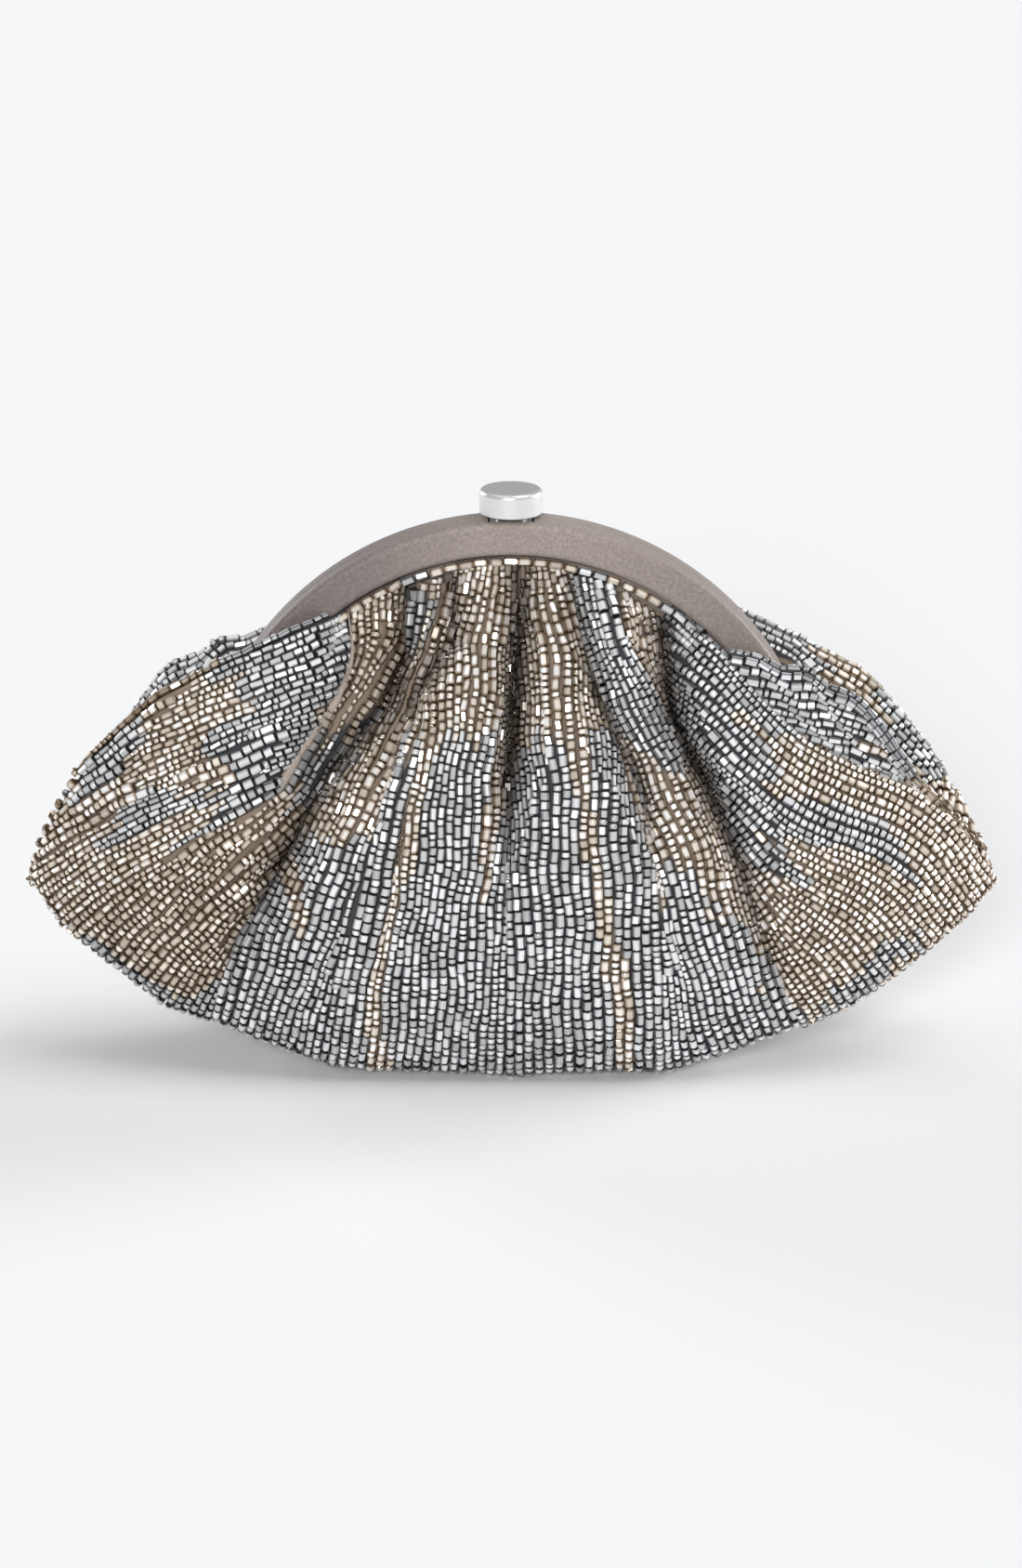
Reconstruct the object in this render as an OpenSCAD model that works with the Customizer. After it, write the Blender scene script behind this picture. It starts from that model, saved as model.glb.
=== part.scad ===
// Pleated evening pouch on an arched, satin covered two-half frame with a push button clasp.
// Millimetres, +Z up, the front of the pouch faces -Y. It stands on its flattened bottom,
// and the origin is the middle of that bottom.

/* [Frame] */
// Outer radius of the arched frame
arch_outer_r = 82; // [76:0.5:90]
// Height of the arch's centre above the table
arch_centre_z = 65; // [60:0.5:72]
// Half of the angle that the arch spans, measured from the top
arch_half_angle = 66; // [62:0.5:70]
// Width of the band seen from the front
band_width = 9; // [8.4:0.1:11]
// Depth of one frame half, front to back
half_depth = 6.5; // [6.3:0.1:8]
// Gap between the closed halves
half_gap = 0.3; // [0.1:0.05:0.5]
// Roundness of the satin edges
band_round = 1.6; // [0.8:0.1:2.2]
// Wall of the steel channel
steel_wall = 0.85; // [0.6:0.05:0.95]
// Thickness of the padded satin cover
satin_wall = 0.75; // [0.5:0.05:0.85]
// Room between the steel and its cover
satin_clearance = 0.1; // [0.05:0.01:0.2]

/* [Hinge] */
// Height of the hinge axis
hinge_z = 88.5; // [86:0.5:90]
// Diameter of the hinge pins
pin_d = 2.4; // [1.8:0.1:3]
// Extra diameter of the bore round a pin
pin_clearance = 0.1; // [0.06:0.01:0.2]
// Radius of the round end of an ear
ear_r = 3; // [2.4:0.1:3.6]
// Thickness of an ear
ear_t = 1.1; // [0.8:0.1:1.4]
// Gap between the two ears on a pin
ear_gap = 0.2; // [0.1:0.05:0.4]
// Diameter of a pin's riveted head
pin_head_d = 4.2; // [3.4:0.1:5]
// Thickness of a pin's riveted head
pin_head_t = 0.8; // [0.5:0.1:1.1]

/* [Button] */
// Diameter of the button cap
cap_d = 16.5; // [15:0.1:19]
// Height of the button cap
cap_h = 6.5; // [5.5:0.1:8]
// Wall of the pressed cap
cap_wall = 0.9; // [0.6:0.05:1.2]
// Roundness of the cap's top rim
cap_round = 1.3; // [0.8:0.1:2]
// Gap between the arch and the cap at rest
cap_gap = 1.15; // [1:0.05:1.6]
// How far the button goes down
button_travel = 0.9; // [0.6:0.05:0.95]
// Diameter of the button's stem
stem_d = 3; // [2.4:0.1:3.4]
// Wire of the return spring
spring_wire_d = 0.5; // [0.3:0.05:0.6]
// Turns of the return spring
spring_turns = 5; // [3:1:7]
// Room between the stem's boss and the spring
spring_room = 0.5; // [0.3:0.05:0.8]

/* [Latch] */
// Width of the latch housing
housing_w = 11; // [10.6:0.1:13]
// Height of the latch housing
housing_h = 8.2; // [8:0.1:9]
// Wall of the latch housing
housing_wall = 0.8; // [0.6:0.05:0.9]
// Room between the housing and the notch round it
notch_clearance = 0.5; // [0.3:0.05:0.8]
// Width of the striker's tongue
tongue_w = 3.2; // [2.6:0.1:3.6]
// Thickness of the striker's plate
tongue_t = 1; // [0.8:0.05:1.1]
// Length of the window in the tongue
window_l = 1.5; // [1.4:0.05:1.8]
// Width of the window in the tongue
window_w = 1.8; // [1.5:0.1:2]
// Thickness of the latch spring's strip
strip_t = 0.45; // [0.3:0.05:0.5]
// Diameter of the clasp's rivets
rivet_d = 1.2; // [0.9:0.05:1.4]

/* [Pouch] */
// Width of the pouch from tip to tip
pouch_w = 254; // [244:1:270]
// Height of the side tips above the table
tip_z = 47; // [42:0.5:52]
// How far the belly stands out to the front or back
belly_d = 34; // [31:0.5:38]
// How deep the bottom is pressed flat on the table
base_sink = 2.2; // [1.6:0.1:2.8]
// Thickness of the beaded cloth, cloth and beads
cloth_t = 2.4; // [1.8:0.1:2.8]
// Thickness of the cloth where it enters the frame
hem_t = 0.6; // [0.4:0.05:0.7]
// How deep a pleat's valley draws in from its ridge
pleat_d = 9.1; // [7:0.1:9.5]
// How far the beaded ridges stand out over the plain belly
ridge_lift = 5; // [4:0.25:5.5]
// How far the side pleats puff out past the tips' chord
wing_puff = 26; // [20:1:29]
// How far the right side's pleats puff out
low_wing_puff = 16; // [8:1:20]
// How far the side seams puff out
side_seam_puff = 9; // [6:0.5:10]
// Half of the angle that the cloth's edge covers in the frame
cloth_half_angle = 62; // [60:0.5:63]

/* [Lining] */
// Thickness of the lining
lining_t = 0.5; // [0.3:0.05:0.6]
// Half of the angle that the lining's edge covers in the frame
lining_half_angle = 54; // [50:0.5:57]
// How far the lining stays above the table
lining_lift = 6; // [5:0.5:8]
// Width of the slip pocket
pocket_w = 62; // [50:1:70]
// Height of the slip pocket
pocket_h = 42; // [34:1:48]
// Diameter of the paper cord that wedges the cloth in the frame
paper_cord_t = 1.05; // [0.8:0.05:1.1]
// Diameter of the bead strand under the front lip
trim_d = 2; // [1.6:0.05:2.2]

/* [Hidden] */

steel_grey = [0.72, 0.72, 0.74];
nickel = [0.80, 0.80, 0.81];
satin_taupe = [0.62, 0.56, 0.53];
bead_grey = [0.55, 0.58, 0.62];
bead_champagne = [0.66, 0.58, 0.48];
lining_taupe = [0.52, 0.46, 0.43];
paper_cream = [0.82, 0.78, 0.68];

fine = 96;
small = 48;
overrun = 1;
seat = 0.05;

// Sections of the arch: r runs from the arch's centre, h from the parting plane outwards
arch_inner_r = arch_outer_r - band_width;
cover_h0 = half_gap / 2;
cover_h1 = half_depth;
cover_skin = satin_wall + satin_clearance;
core_r0 = arch_inner_r + cover_skin;
core_r1 = arch_outer_r - cover_skin;
core_h0 = cover_h0 + cover_skin;
core_h1 = cover_h1 - cover_skin;
channel_r1 = core_r1 - steel_wall;
channel_h0 = core_h0 + steel_wall;
channel_h1 = core_h1 - steel_wall;
channel_clearance = 0.25;
core_mid_r = (core_r0 + core_r1) / 2;
arch_top_z = arch_centre_z + arch_outer_r;
band_round_parting = 0.4;
round_steps = 5;

// Layers in the channel, from the front of a half towards the parting plane
hem_outer_h = channel_h1 - channel_clearance;
lining_inner_h = channel_h0 + channel_clearance;
paper_mid_h = (hem_outer_h - hem_t + lining_inner_h + lining_t) / 2;
hem_top_r = channel_r1 - 4 * channel_clearance;
paper_r0 = core_r0 + 4 * channel_clearance;
paper_r1 = hem_top_r;

// Hinge ears at the ends of the arch
ear_x = core_mid_r * sin(arch_half_angle);
ear_top_z = arch_centre_z + core_mid_r * cos(arch_half_angle) + ear_r * 2 / 3;
ear_end_z = arch_centre_z + core_mid_r * cos(arch_half_angle) - ear_r;
ear_side = seat * 2;
ear_tangent_angle = 70;

// Clasp, all on the stem's axis x = 0, y = 0
cap_z0 = arch_top_z + cap_gap;
cap_z1 = cap_z0 + cap_h;
cap_roof_z = cap_z1 - cap_wall;
cap_rim_round = 0.45;
boss_wall = 0.8;
boss_r = stem_d / 2 + boss_wall;
boss_depth = 2;
stem_clearance = 0.1;
stem_top_z = cap_roof_z - seat;
rivet_head_t = 0.3;
rivet_head_over = 0.4;
rivet_head_d = rivet_d + 2 * rivet_head_over;
rivet_clearance = 0.1;
housing_top_z = arch_top_z - cover_skin;
housing_z0 = housing_top_z - housing_h;
housing_y1 = channel_h1 - seat;
housing_y0 = -(channel_h1 - 3 * seat - tongue_t / 2 - 2 * rivet_head_t);
notch_half = housing_w / 2 + notch_clearance;
notch_depth = channel_h1 - seat / 2;
collar_d = 8;
collar_proud = 0.2;
collar_h = cover_skin + collar_proud;
collar_z1 = housing_top_z + collar_h;
spring_mid_r = boss_r + spring_room + spring_wire_d / 2;
spring_sides = 6;
spring_steps = 12;

// Heights inside the housing
housing_floor_z = housing_z0 + housing_wall;
housing_roof_z = housing_top_z - housing_wall;
strip_lift = 1.1;
strip_z = housing_floor_z + strip_lift;
tongue_z = strip_z + strip_t + button_travel - seat;
tongue_len = 1.6;
fork_gap = 0.1;
fork_t = 0.7;
fork_roof_gap = 0.55;
fork_z = housing_roof_z - fork_t - fork_roof_gap;
prong_t = 0.8;
fork_side_room = 0.7;
fork_half = tongue_w / 2 + fork_side_room + prong_t;
fork_half_y = 1.1;
neck_step = 0.45;
neck_d = stem_d - 2 * neck_step;
neck_end_t = 0.4;
neck_end_over = 0.3;
neck_end_d = neck_d + 2 * neck_end_over;
nose_side_gap = 0.2;
nose_back_gap = 0.1;
nose_front_gap = 0.2;
nose_top_gap = 0.15;
nose_w = window_w - 2 * nose_side_gap;
nose_l = window_l - nose_back_gap - nose_front_gap;
nose_back_y = window_l / 2 - nose_back_gap;
window_y1 = window_l / 2;
nose_top_z = tongue_z + tongue_t - nose_top_gap;
strip_margin = 0.3;
strip_half = fork_half + strip_margin;
strip_front_y = -1.7;
strip_bend_y = 1.8;
slot_side_room = 0.45;
slot_half = tongue_w / 2 + slot_side_room;
slot_room_z = 0.75;
striker_plate_t = tongue_t / 2;
rivet_drop = 0.3;
rivet_z = housing_z0 + housing_h / 2 - rivet_drop;
rivet_tongue_gap = 0.4;
striker_rivet_x = tongue_w / 2 + rivet_tongue_gap + rivet_head_d / 2;
striker_plate_half = striker_rivet_x + rivet_head_d / 2;
rivet_wall_gap = 0.7;
housing_rivet_x = housing_w / 2 - housing_wall - rivet_wall_gap - rivet_head_d / 2;

// Cloth of the pouch
tip_x = pouch_w / 2;
seam_gap = 0.15;
seam_curve = 2.3;
seam_ease_share = 0.12;
belly_at_share = 0.27;
belly_power = 4;
belly_side_power = 3.2;
belly_side_round = 0.6;
upper_power = 1.5;
lip_step = 2;
lip_r = arch_inner_r - lip_step;
shoulder_drop = 4;
shoulder_r = arch_inner_r - shoulder_drop;
ear_cover_room = 2.6;
ear_cover_d = half_depth + ear_cover_room;
ear_cover_shares = [0.6, 0.85];
ear_cover_height_shares = [0.62, 0.82];
belly_steps = 6;
upper_steps = 10;
lobe_shares = [0, 0.16, 0.4, 0.6, 0.84];
pleat_half_w = 15;
pleat_power = 2;
valley_top_share = 0.8;
rise_heights = [0, 0.2, 0.6, 0.85, 1];
rise_shares = [0, 0.02, 0.72, 0.9, 0.72];
side_close_shares = [0.06, 0.5];
side_close_heights = [0.05, 0.45];
side_close_power = 2.2;
wing_shares = [0.45, 0.92];
puff_powers = [1.1, 0.55];
low_puff_powers = [0.6, 1.1];
side_seam_powers = [0.8, 0.8];
clasp_clear_room = 1.2;
clasp_clear_x = notch_half + clasp_clear_room;
clasp_ease_x = 3;
edge_step = 0.5;
thin_from_height_share = 0.62;
thin_from_side_share = 0.86;
trim_end_angle = 4;
trim_gap = 0.4;
side_lean = 0.5;
tiny = 0.000001;

// Where the pleat valleys start along the seam, and where they enter the frame
valley_shares = [-1, -0.86, -0.58, -0.35, -0.02, 0.28, 0.55, 0.86, 1];
valley_angle_shares = [-1, -0.61, -0.374, -0.2, 0.03, 0.2, 0.556, 0.8, 1];

// Valleys in the front view, from the frame down: x, z and share of the pleat depth
valley_lines = [
    [[-42, 123, 0.2], [-41, 112, 0.5], [-45, 102, 0.7], [-50, 95, 0.7], [-60, 81, 0.4], [-85, 66, 0]],
    [[-27, 128, 0.8], [-27, 113, 0.8], [-33, 99, 0.8], [-47, 83, 0.9], [-58, 62, 1], [-72, 37, 0.6],
        [-80, 15, 0]],
    [[-15, 132, 0.8], [-15, 115, 0.9], [-23, 103, 0.8], [-29, 91, 0.5], [-35, 75, 0]],
    [[2, 135, 0.7], [1, 105, 0.75], [0, 80, 0.86], [-1, 56, 0.5], [-2, 32, 0]],
    [[15, 131, 0.7], [22, 104, 0.9], [34, 78, 1], [36, 68, 0.6], [38, 45, 0]],
    [[39, 122, 0.7], [42, 96, 0.9], [50, 80, 1], [60, 60, 1], [65, 44, 0.8], [69, 29, 0.5], [76, 15, 0]]
];

// Lining
lining_tip_share = 0.72;
lining_belly_share = 0.77;
lining_upper_power = 1.17;
lining_close_share = 0.25;
lining_lip_step = 2.5;
lining_lip_r = arch_inner_r - lining_lip_step;
lining_columns = 18;
lining_belly_rows = 4;
lining_upper_rows = 6;
pocket_gap = 0.15;
pocket_lift = 32;
pocket_z = lining_lift + pocket_lift;
slope_share = 1.3;
pocket_columns = 8;
pocket_rows = 5;

// Smooth step from 0 at a to 1 at b
function ease(a, b, v) =
    let (k = min(1, max(0, (v - a) / (b - a)))) k * k * (3 - 2 * k);
function mix(a, b, k) = a + (b - a) * k;
function flat(rows) = [for (row = rows) for (p = row) p];
function unit(v) = v / max(norm(v), tiny);

// Points of an arc in a section, from angle a0 to a1
function arc_points(cx, cy, r, a0, a1, steps) =
    [for (k = [0:steps]) let (a = mix(a0, a1, k / steps)) [cx + r * cos(a), cy + r * sin(a)]];

// Closed outline of the satin band: round at the outside, tighter at the parting plane
function band_outline(r0, r1, h0, h1, outside, parting) = concat(
    arc_points(r0 + parting, h0 + parting, parting, 180, 270, round_steps),
    arc_points(r1 - parting, h0 + parting, parting, 270, 360, round_steps),
    arc_points(r1 - outside, h1 - outside, outside, 0, 90, round_steps),
    arc_points(r0 + outside, h1 - outside, outside, 90, 180, round_steps)
);

// Turns a section in r and h round the arch, for the front half
module arch_sweep(half_angle) {
    translate([0, 0, arch_centre_z])
        rotate([90, 0, 0])
            rotate([0, 0, 90 - half_angle])
                rotate_extrude(angle = 2 * half_angle, $fn = fine * 2)
                    children();
}

// A front part turned to the back
module to_back() {
    rotate([0, 0, 180])
        children();
}

// Room for the latch housing at the top of both halves
module clasp_notch() {
    translate([-notch_half, -notch_depth, housing_z0 - notch_clearance])
        cube([2 * notch_half, notch_depth + overrun, housing_h + band_width]);
}

// One steel channel, open towards the inside of the arch
module core_channel() {
    arch_sweep(arch_half_angle)
        difference() {
            translate([core_r0, core_h0])
                square([core_r1 - core_r0, core_h1 - core_h0]);
            translate([core_r0 - overrun, channel_h0])
                square([channel_r1 - core_r0 + overrun, channel_h1 - channel_h0]);
        }
}

// Outline of an ear in h and z: a round end on the pin and a tab up into the channel
module ear_outline() {
    tab_h0 = core_h0 + ear_side;
    tab_h1 = core_h1 - ear_side;
    translate([0, hinge_z])
        circle(r = ear_r, $fn = small);
    polygon([
        [tab_h0, ear_top_z], [tab_h1, ear_top_z], [tab_h1, ear_end_z],
        [ear_r * sin(ear_tangent_angle), hinge_z - ear_r * cos(ear_tangent_angle)],
        [-ear_r * sin(ear_tangent_angle), hinge_z + ear_r * cos(ear_tangent_angle)],
        [tab_h0, ear_end_z]
    ]);
}

// Ear plate whose inner face is at x
module ear(x) {
    translate([x, 0, 0])
        rotate([90, 0, 90])
            mirror([1, 0, 0])
                linear_extrude(ear_t)
                    difference() {
                        ear_outline();
                        translate([0, hinge_z])
                            circle(d = pin_d + pin_clearance, $fn = small);
                    }
}

// Bores for two rivets through a wall at the front of the clasp
module rivet_bores(d, x, y0, y1) {
    for (side = [-1, 1])
        translate([side * x, y0, rivet_z])
            rotate([-90, 0, 0])
                cylinder(d = d, h = y1 - y0, $fn = small);
}

// One half of the steel frame with its ears
module frame_core(bores_x) {
    difference() {
        core_channel();
        clasp_notch();
        rivet_bores(rivet_d + rivet_clearance, bores_x, -core_h1 - overrun, -channel_h1 + overrun);
    }
    ear(ear_x - ear_gap / 2 - ear_t);
    ear(-ear_x - ear_gap / 2 - ear_t);
}

module front_frame_core() {
    color(steel_grey)
        frame_core(striker_rivet_x);
}

module back_frame_core() {
    color(steel_grey)
        to_back()
            frame_core(housing_rivet_x);
}

// Satin that wraps a half and turns in at the mouth of the channel
module frame_cover() {
    difference() {
        arch_sweep(arch_half_angle)
            difference() {
                polygon(band_outline(arch_inner_r, arch_outer_r, cover_h0, cover_h1,
                    band_round, band_round_parting));
                polygon(band_outline(arch_inner_r + satin_wall, arch_outer_r - satin_wall,
                    cover_h0 + satin_wall, cover_h1 - satin_wall,
                    satin_clearance, satin_clearance));
                translate([arch_inner_r - overrun, channel_h0])
                    square([satin_wall + 2 * overrun, channel_h1 - channel_h0]);
            }
        clasp_notch();
    }
}

module front_frame_cover() {
    color(satin_taupe)
        frame_cover();
}

module back_frame_cover() {
    color(satin_taupe)
        to_back()
            frame_cover();
}

// Paper cord that wedges cloth and lining in one channel, left and right of the clasp
module paper_cord() {
    clasp_angle = asin((notch_half + overrun) / paper_r0);
    paper_angle = lining_half_angle - clasp_angle;
    for (side = [-1, 1])
        translate([0, 0, arch_centre_z])
            rotate([90, 0, 0])
                rotate([0, 0, 90 + side * (clasp_angle + paper_angle / 2) - paper_angle / 2])
                    rotate_extrude(angle = paper_angle, $fn = fine * 2)
                        translate([paper_r0, paper_mid_h - paper_cord_t / 2])
                            square([paper_r1 - paper_r0, paper_cord_t]);
}

module front_paper_cord() {
    color(paper_cream)
        paper_cord();
}

module back_paper_cord() {
    color(paper_cream)
        to_back()
            paper_cord();
}

// Strand of beads sewn on just under the outer lip
module bead_trim() {
    arch_sweep(cloth_half_angle - trim_end_angle)
        translate([arch_inner_r - seat - trim_d / 2, hem_outer_h + trim_gap + trim_d / 2])
            circle(d = trim_d, $fn = small);
}

module front_bead_trim() {
    color(bead_champagne)
        bead_trim();
}

module back_bead_trim() {
    color(bead_grey)
        to_back()
            bead_trim();
}

// Riveted pin through a front and a back ear, its heads outside them
module hinge_pin() {
    grip = 2 * ear_t + ear_gap + 2 * seat;
    translate([ear_x - grip / 2, 0, hinge_z])
        rotate([0, 90, 0]) {
            translate([0, 0, -pin_head_t])
                cylinder(d = pin_head_d, h = pin_head_t, $fn = small);
            cylinder(d = pin_d, h = grip, $fn = small);
            translate([0, 0, grip])
                cylinder(d = pin_head_d, h = pin_head_t, $fn = small);
        }
}

module right_hinge_pin() {
    color(nickel)
        hinge_pin();
}

module left_hinge_pin() {
    color(nickel)
        to_back()
            hinge_pin();
}

// Hollow cap, drawn from sheet, with a bored boss under its roof
module button_cap() {
    cap_r = cap_d / 2;
    inner_r = cap_r - cap_wall;
    bore_r = stem_d / 2 + stem_clearance / 4;
    color(nickel)
        rotate_extrude($fn = fine)
            polygon(concat(
                [[0, cap_z1]],
                arc_points(cap_r - cap_round, cap_z1 - cap_round, cap_round, 90, 0, 2 * round_steps),
                arc_points(cap_r - cap_rim_round, cap_z0 + cap_rim_round, cap_rim_round, 0, -90,
                    round_steps),
                [[inner_r, cap_z0], [inner_r, cap_roof_z - cap_round / 2],
                 [inner_r - cap_round / 2, cap_roof_z], [boss_r, cap_roof_z],
                 [boss_r, cap_roof_z - boss_depth], [bore_r, cap_roof_z - boss_depth],
                 [bore_r, cap_roof_z], [0, cap_roof_z]]
            ));
}

// Stem with a thinner neck for the fork and a riveted end under it
module button_stem() {
    neck_top_z = fork_z + fork_t + seat;
    color(steel_grey) {
        translate([0, 0, neck_top_z])
            cylinder(d = stem_d, h = stem_top_z - neck_top_z, $fn = small);
        translate([0, 0, fork_z - neck_end_t / 2])
            cylinder(d = neck_d, h = neck_top_z - fork_z + neck_end_t, $fn = small);
        translate([0, 0, fork_z - seat - neck_end_t])
            cylinder(d = neck_end_d, h = neck_end_t, $fn = small);
    }
}

// Coil between the collar and the cap's roof
function spring_ring(k, z0, z1) =
    let (a = 360 * k / spring_steps,
         z = mix(z0, z1, k / (spring_steps * spring_turns)))
    [for (m = [0:spring_sides - 1])
        let (b = 360 * m / spring_sides,
             r = spring_mid_r + spring_wire_d / 2 * cos(b))
        [r * cos(a), r * sin(a), z + spring_wire_d / 2 * sin(b)]];

module return_spring() {
    z0 = collar_z1 + seat + spring_wire_d / 2;
    z1 = cap_roof_z - seat - spring_wire_d / 2;
    count = spring_steps * spring_turns;
    rings = [for (k = [0:count]) spring_ring(k, z0, z1)];
    sides = [for (k = [0:count - 1]) for (m = [0:spring_sides - 1])
        let (a = k * spring_sides + m,
             b = k * spring_sides + (m + 1) % spring_sides,
             c = b + spring_sides,
             d = a + spring_sides)
        for (face = [[a, b, c], [a, c, d]]) face];
    color(steel_grey)
        polyhedron(
            points = flat(rings),
            faces = concat(
                [[for (m = [spring_sides - 1:-1:0]) m]],
                [[for (m = [0:spring_sides - 1]) count * spring_sides + m]],
                sides
            )
        );
}

// Washer shaped collar on the housing that guides the stem and seats the spring
module stem_collar() {
    color(steel_grey)
        translate([0, 0, housing_top_z])
            difference() {
                cylinder(d = collar_d, h = collar_h, $fn = small);
                translate([0, 0, -overrun])
                    cylinder(d = stem_d + 2 * stem_clearance, h = collar_h + 2 * overrun, $fn = small);
            }
}

// Fork on the stem that straddles the tongue and presses the latch spring down
module release_fork() {
    prong_z0 = strip_z + strip_t + fork_gap;
    color(steel_grey)
        difference() {
            union() {
                translate([-fork_half, -fork_half_y, fork_z])
                    cube([2 * fork_half, 2 * fork_half_y, fork_t]);
                for (side = [0, 1])
                    mirror([side, 0, 0])
                        translate([fork_half - prong_t, -fork_half_y, prong_z0])
                            cube([prong_t, 2 * fork_half_y, fork_z + fork_t - prong_z0]);
            }
            translate([0, 0, fork_z - overrun])
                cylinder(d = neck_d + stem_clearance / 2, h = fork_t + 2 * overrun, $fn = small);
        }
}

// Box of the latch, riveted inside the top of the back half, with a slot for the tongue
module latch_housing() {
    color(nickel)
        difference() {
            translate([-housing_w / 2, housing_y0, housing_z0])
                cube([housing_w, housing_y1 - housing_y0, housing_h]);
            translate([-housing_w / 2 + housing_wall, housing_y0 + housing_wall, housing_floor_z])
                cube([housing_w - 2 * housing_wall, housing_y1 - housing_y0 - 2 * housing_wall,
                    housing_roof_z - housing_floor_z]);
            translate([-slot_half, housing_y0 - overrun, tongue_z - slot_room_z])
                cube([2 * slot_half, housing_wall + 2 * overrun, tongue_t + 2 * slot_room_z]);
            translate([0, 0, housing_roof_z - overrun])
                cylinder(d = stem_d + 2 * stem_clearance, h = housing_wall + 2 * overrun, $fn = small);
            to_back()
                rivet_bores(rivet_d + rivet_clearance, housing_rivet_x,
                    -housing_y1 - overrun, -housing_y1 + housing_wall + overrun);
        }
}

// Pair of rivets with their heads on the inside of the wall at y_head, seen from the front
module rivet_pair(x, y_head, y_end) {
    for (side = [-1, 1])
        translate([side * x, 0, rivet_z])
            rotate([-90, 0, 0]) {
                translate([0, 0, y_end])
                    cylinder(d = rivet_d, h = y_head - y_end, $fn = small);
                translate([0, 0, y_head])
                    cylinder(d = rivet_head_d, h = rivet_head_t, $fn = small);
            }
}

module housing_rivets() {
    color(steel_grey)
        to_back()
            rivet_pair(housing_rivet_x, -housing_y1 + housing_wall + seat, -core_h1);
}

module striker_rivets() {
    color(steel_grey)
        rivet_pair(striker_rivet_x, -channel_h1 + striker_plate_t + 2 * seat, -core_h1);
}

// Spring strip with a foot on the housing's floor and a nose up through the window
module latch_spring() {
    foot_y1 = housing_y1 - housing_wall - 3 * seat - rivet_head_t;
    color(steel_grey) {
        translate([-strip_half, 0, 0])
            rotate([90, 0, 90])
                linear_extrude(2 * strip_half)
                    polygon([
                        [strip_front_y, strip_z], [strip_bend_y, strip_z],
                        [strip_bend_y, housing_floor_z], [foot_y1, housing_floor_z],
                        [foot_y1, housing_floor_z + strip_t],
                        [strip_bend_y + strip_t, housing_floor_z + strip_t],
                        [strip_bend_y + strip_t, strip_z + strip_t],
                        [strip_front_y, strip_z + strip_t]
                    ]);
        translate([-nose_w / 2, 0, 0])
            rotate([90, 0, 90])
                linear_extrude(nose_w)
                    polygon([
                        [nose_back_y - nose_l, strip_z + strip_t / 2], [nose_back_y, strip_z + strip_t / 2],
                        [nose_back_y, nose_top_z], [nose_back_y - nose_l / 3, nose_top_z],
                        [nose_back_y - nose_l, tongue_z]
                    ]);
    }
}

// Plate on the front half with a tongue that enters the housing and a window for the nose
module striker() {
    plate_y1 = -channel_h1 + seat + striker_plate_t;
    plate_z0 = housing_z0 + 2 * notch_clearance;
    plate_h = housing_h - 3 * notch_clearance;
    color(steel_grey)
        difference() {
            union() {
                translate([-striker_plate_half, plate_y1 - striker_plate_t, plate_z0])
                    cube([2 * striker_plate_half, striker_plate_t, plate_h]);
                translate([-tongue_w / 2, plate_y1 - striker_plate_t, tongue_z])
                    cube([tongue_w, tongue_len - plate_y1 + striker_plate_t, tongue_t]);
            }
            translate([-window_w / 2, window_y1 - window_l, tongue_z - overrun])
                cube([window_w, window_l, tongue_t + 2 * overrun]);
            rivet_bores(rivet_d + rivet_clearance, striker_rivet_x,
                plate_y1 - striker_plate_t - overrun, plate_y1 + overrun);
        }
}

// Bottom seam of the front panel: s runs from -1 at the left tip to 1 at the right tip
function seam_x(s) = tip_x * ((1 + seam_ease_share) * s - seam_ease_share * s * s * s);
function seam_z(x) = tip_z * pow(abs(x) / tip_x, seam_curve);

// Angle at which the line of cloth at s enters the frame
function frame_angle(s) = cloth_half_angle * lookup(s,
    [for (k = [0:len(valley_shares) - 1]) [valley_shares[k], valley_angle_shares[k]]]);

function arch_point(r, angle) = [r * sin(angle), arch_centre_z + r * cos(angle)];

// How far the belly stands out at s, and how strongly s lies in a side wing
function belly_at(s) = belly_d * pow(max(0, 1 - pow(abs(s), belly_side_power)), belly_side_round);
function wing_at(s) = ease(wing_shares[0], wing_shares[1], abs(s))
    * (1 - ease(wing_shares[1], 1, abs(s)));
function puff_at(w, powers) = w <= 0 || w >= 1 ? 0
    : pow(w, powers[0]) * pow(1 - w, powers[1])
        / (pow(powers[0], powers[0]) * pow(powers[1], powers[1])
            / pow(powers[0] + powers[1], powers[0] + powers[1]));

// Depth of a sheet at height share w, between a belly and a lip
function depth_at(w, belly, lip, power) = w <= belly_at_share
    ? belly * pow(max(0, 1 - pow(1 - w / belly_at_share, belly_power)), 1 / belly_power)
    : mix(belly, lip, pow((w - belly_at_share) / (1 - belly_at_share), power));

// Depth of the side wings in front of the ears
function ear_cover_at(s, w) = ear_cover_d
    * ease(ear_cover_shares[0], ear_cover_shares[1], abs(s))
    * ease(ear_cover_height_shares[0], ear_cover_height_shares[1], w);

// Where the line of cloth at s lies in the front view at height share w; the right wing hangs lower
function panel_place(s, w) =
    let (sx = seam_x(s),
         a = [sx, seam_z(sx)],
         b = arch_point(shoulder_r, frame_angle(s)),
         along = unit(b - a),
         out = [along[1], -along[0]] * (s < 0 ? -1 : 1))
    mix(a, b, w)
        + out * wing_at(s) * (s < 0 ? wing_puff * puff_at(w, puff_powers)
            : low_wing_puff * puff_at(w, low_puff_powers))
        + out * side_seam_puff * ease(wing_shares[1], 1, abs(s)) * puff_at(w, side_seam_powers);

// How far the beaded pleats stand out over the plain belly, without their valleys
function rise_at(w) = ridge_lift * lookup(w,
    [for (k = [0:len(rise_heights) - 1]) [rise_heights[k], rise_shares[k]]]);

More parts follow.
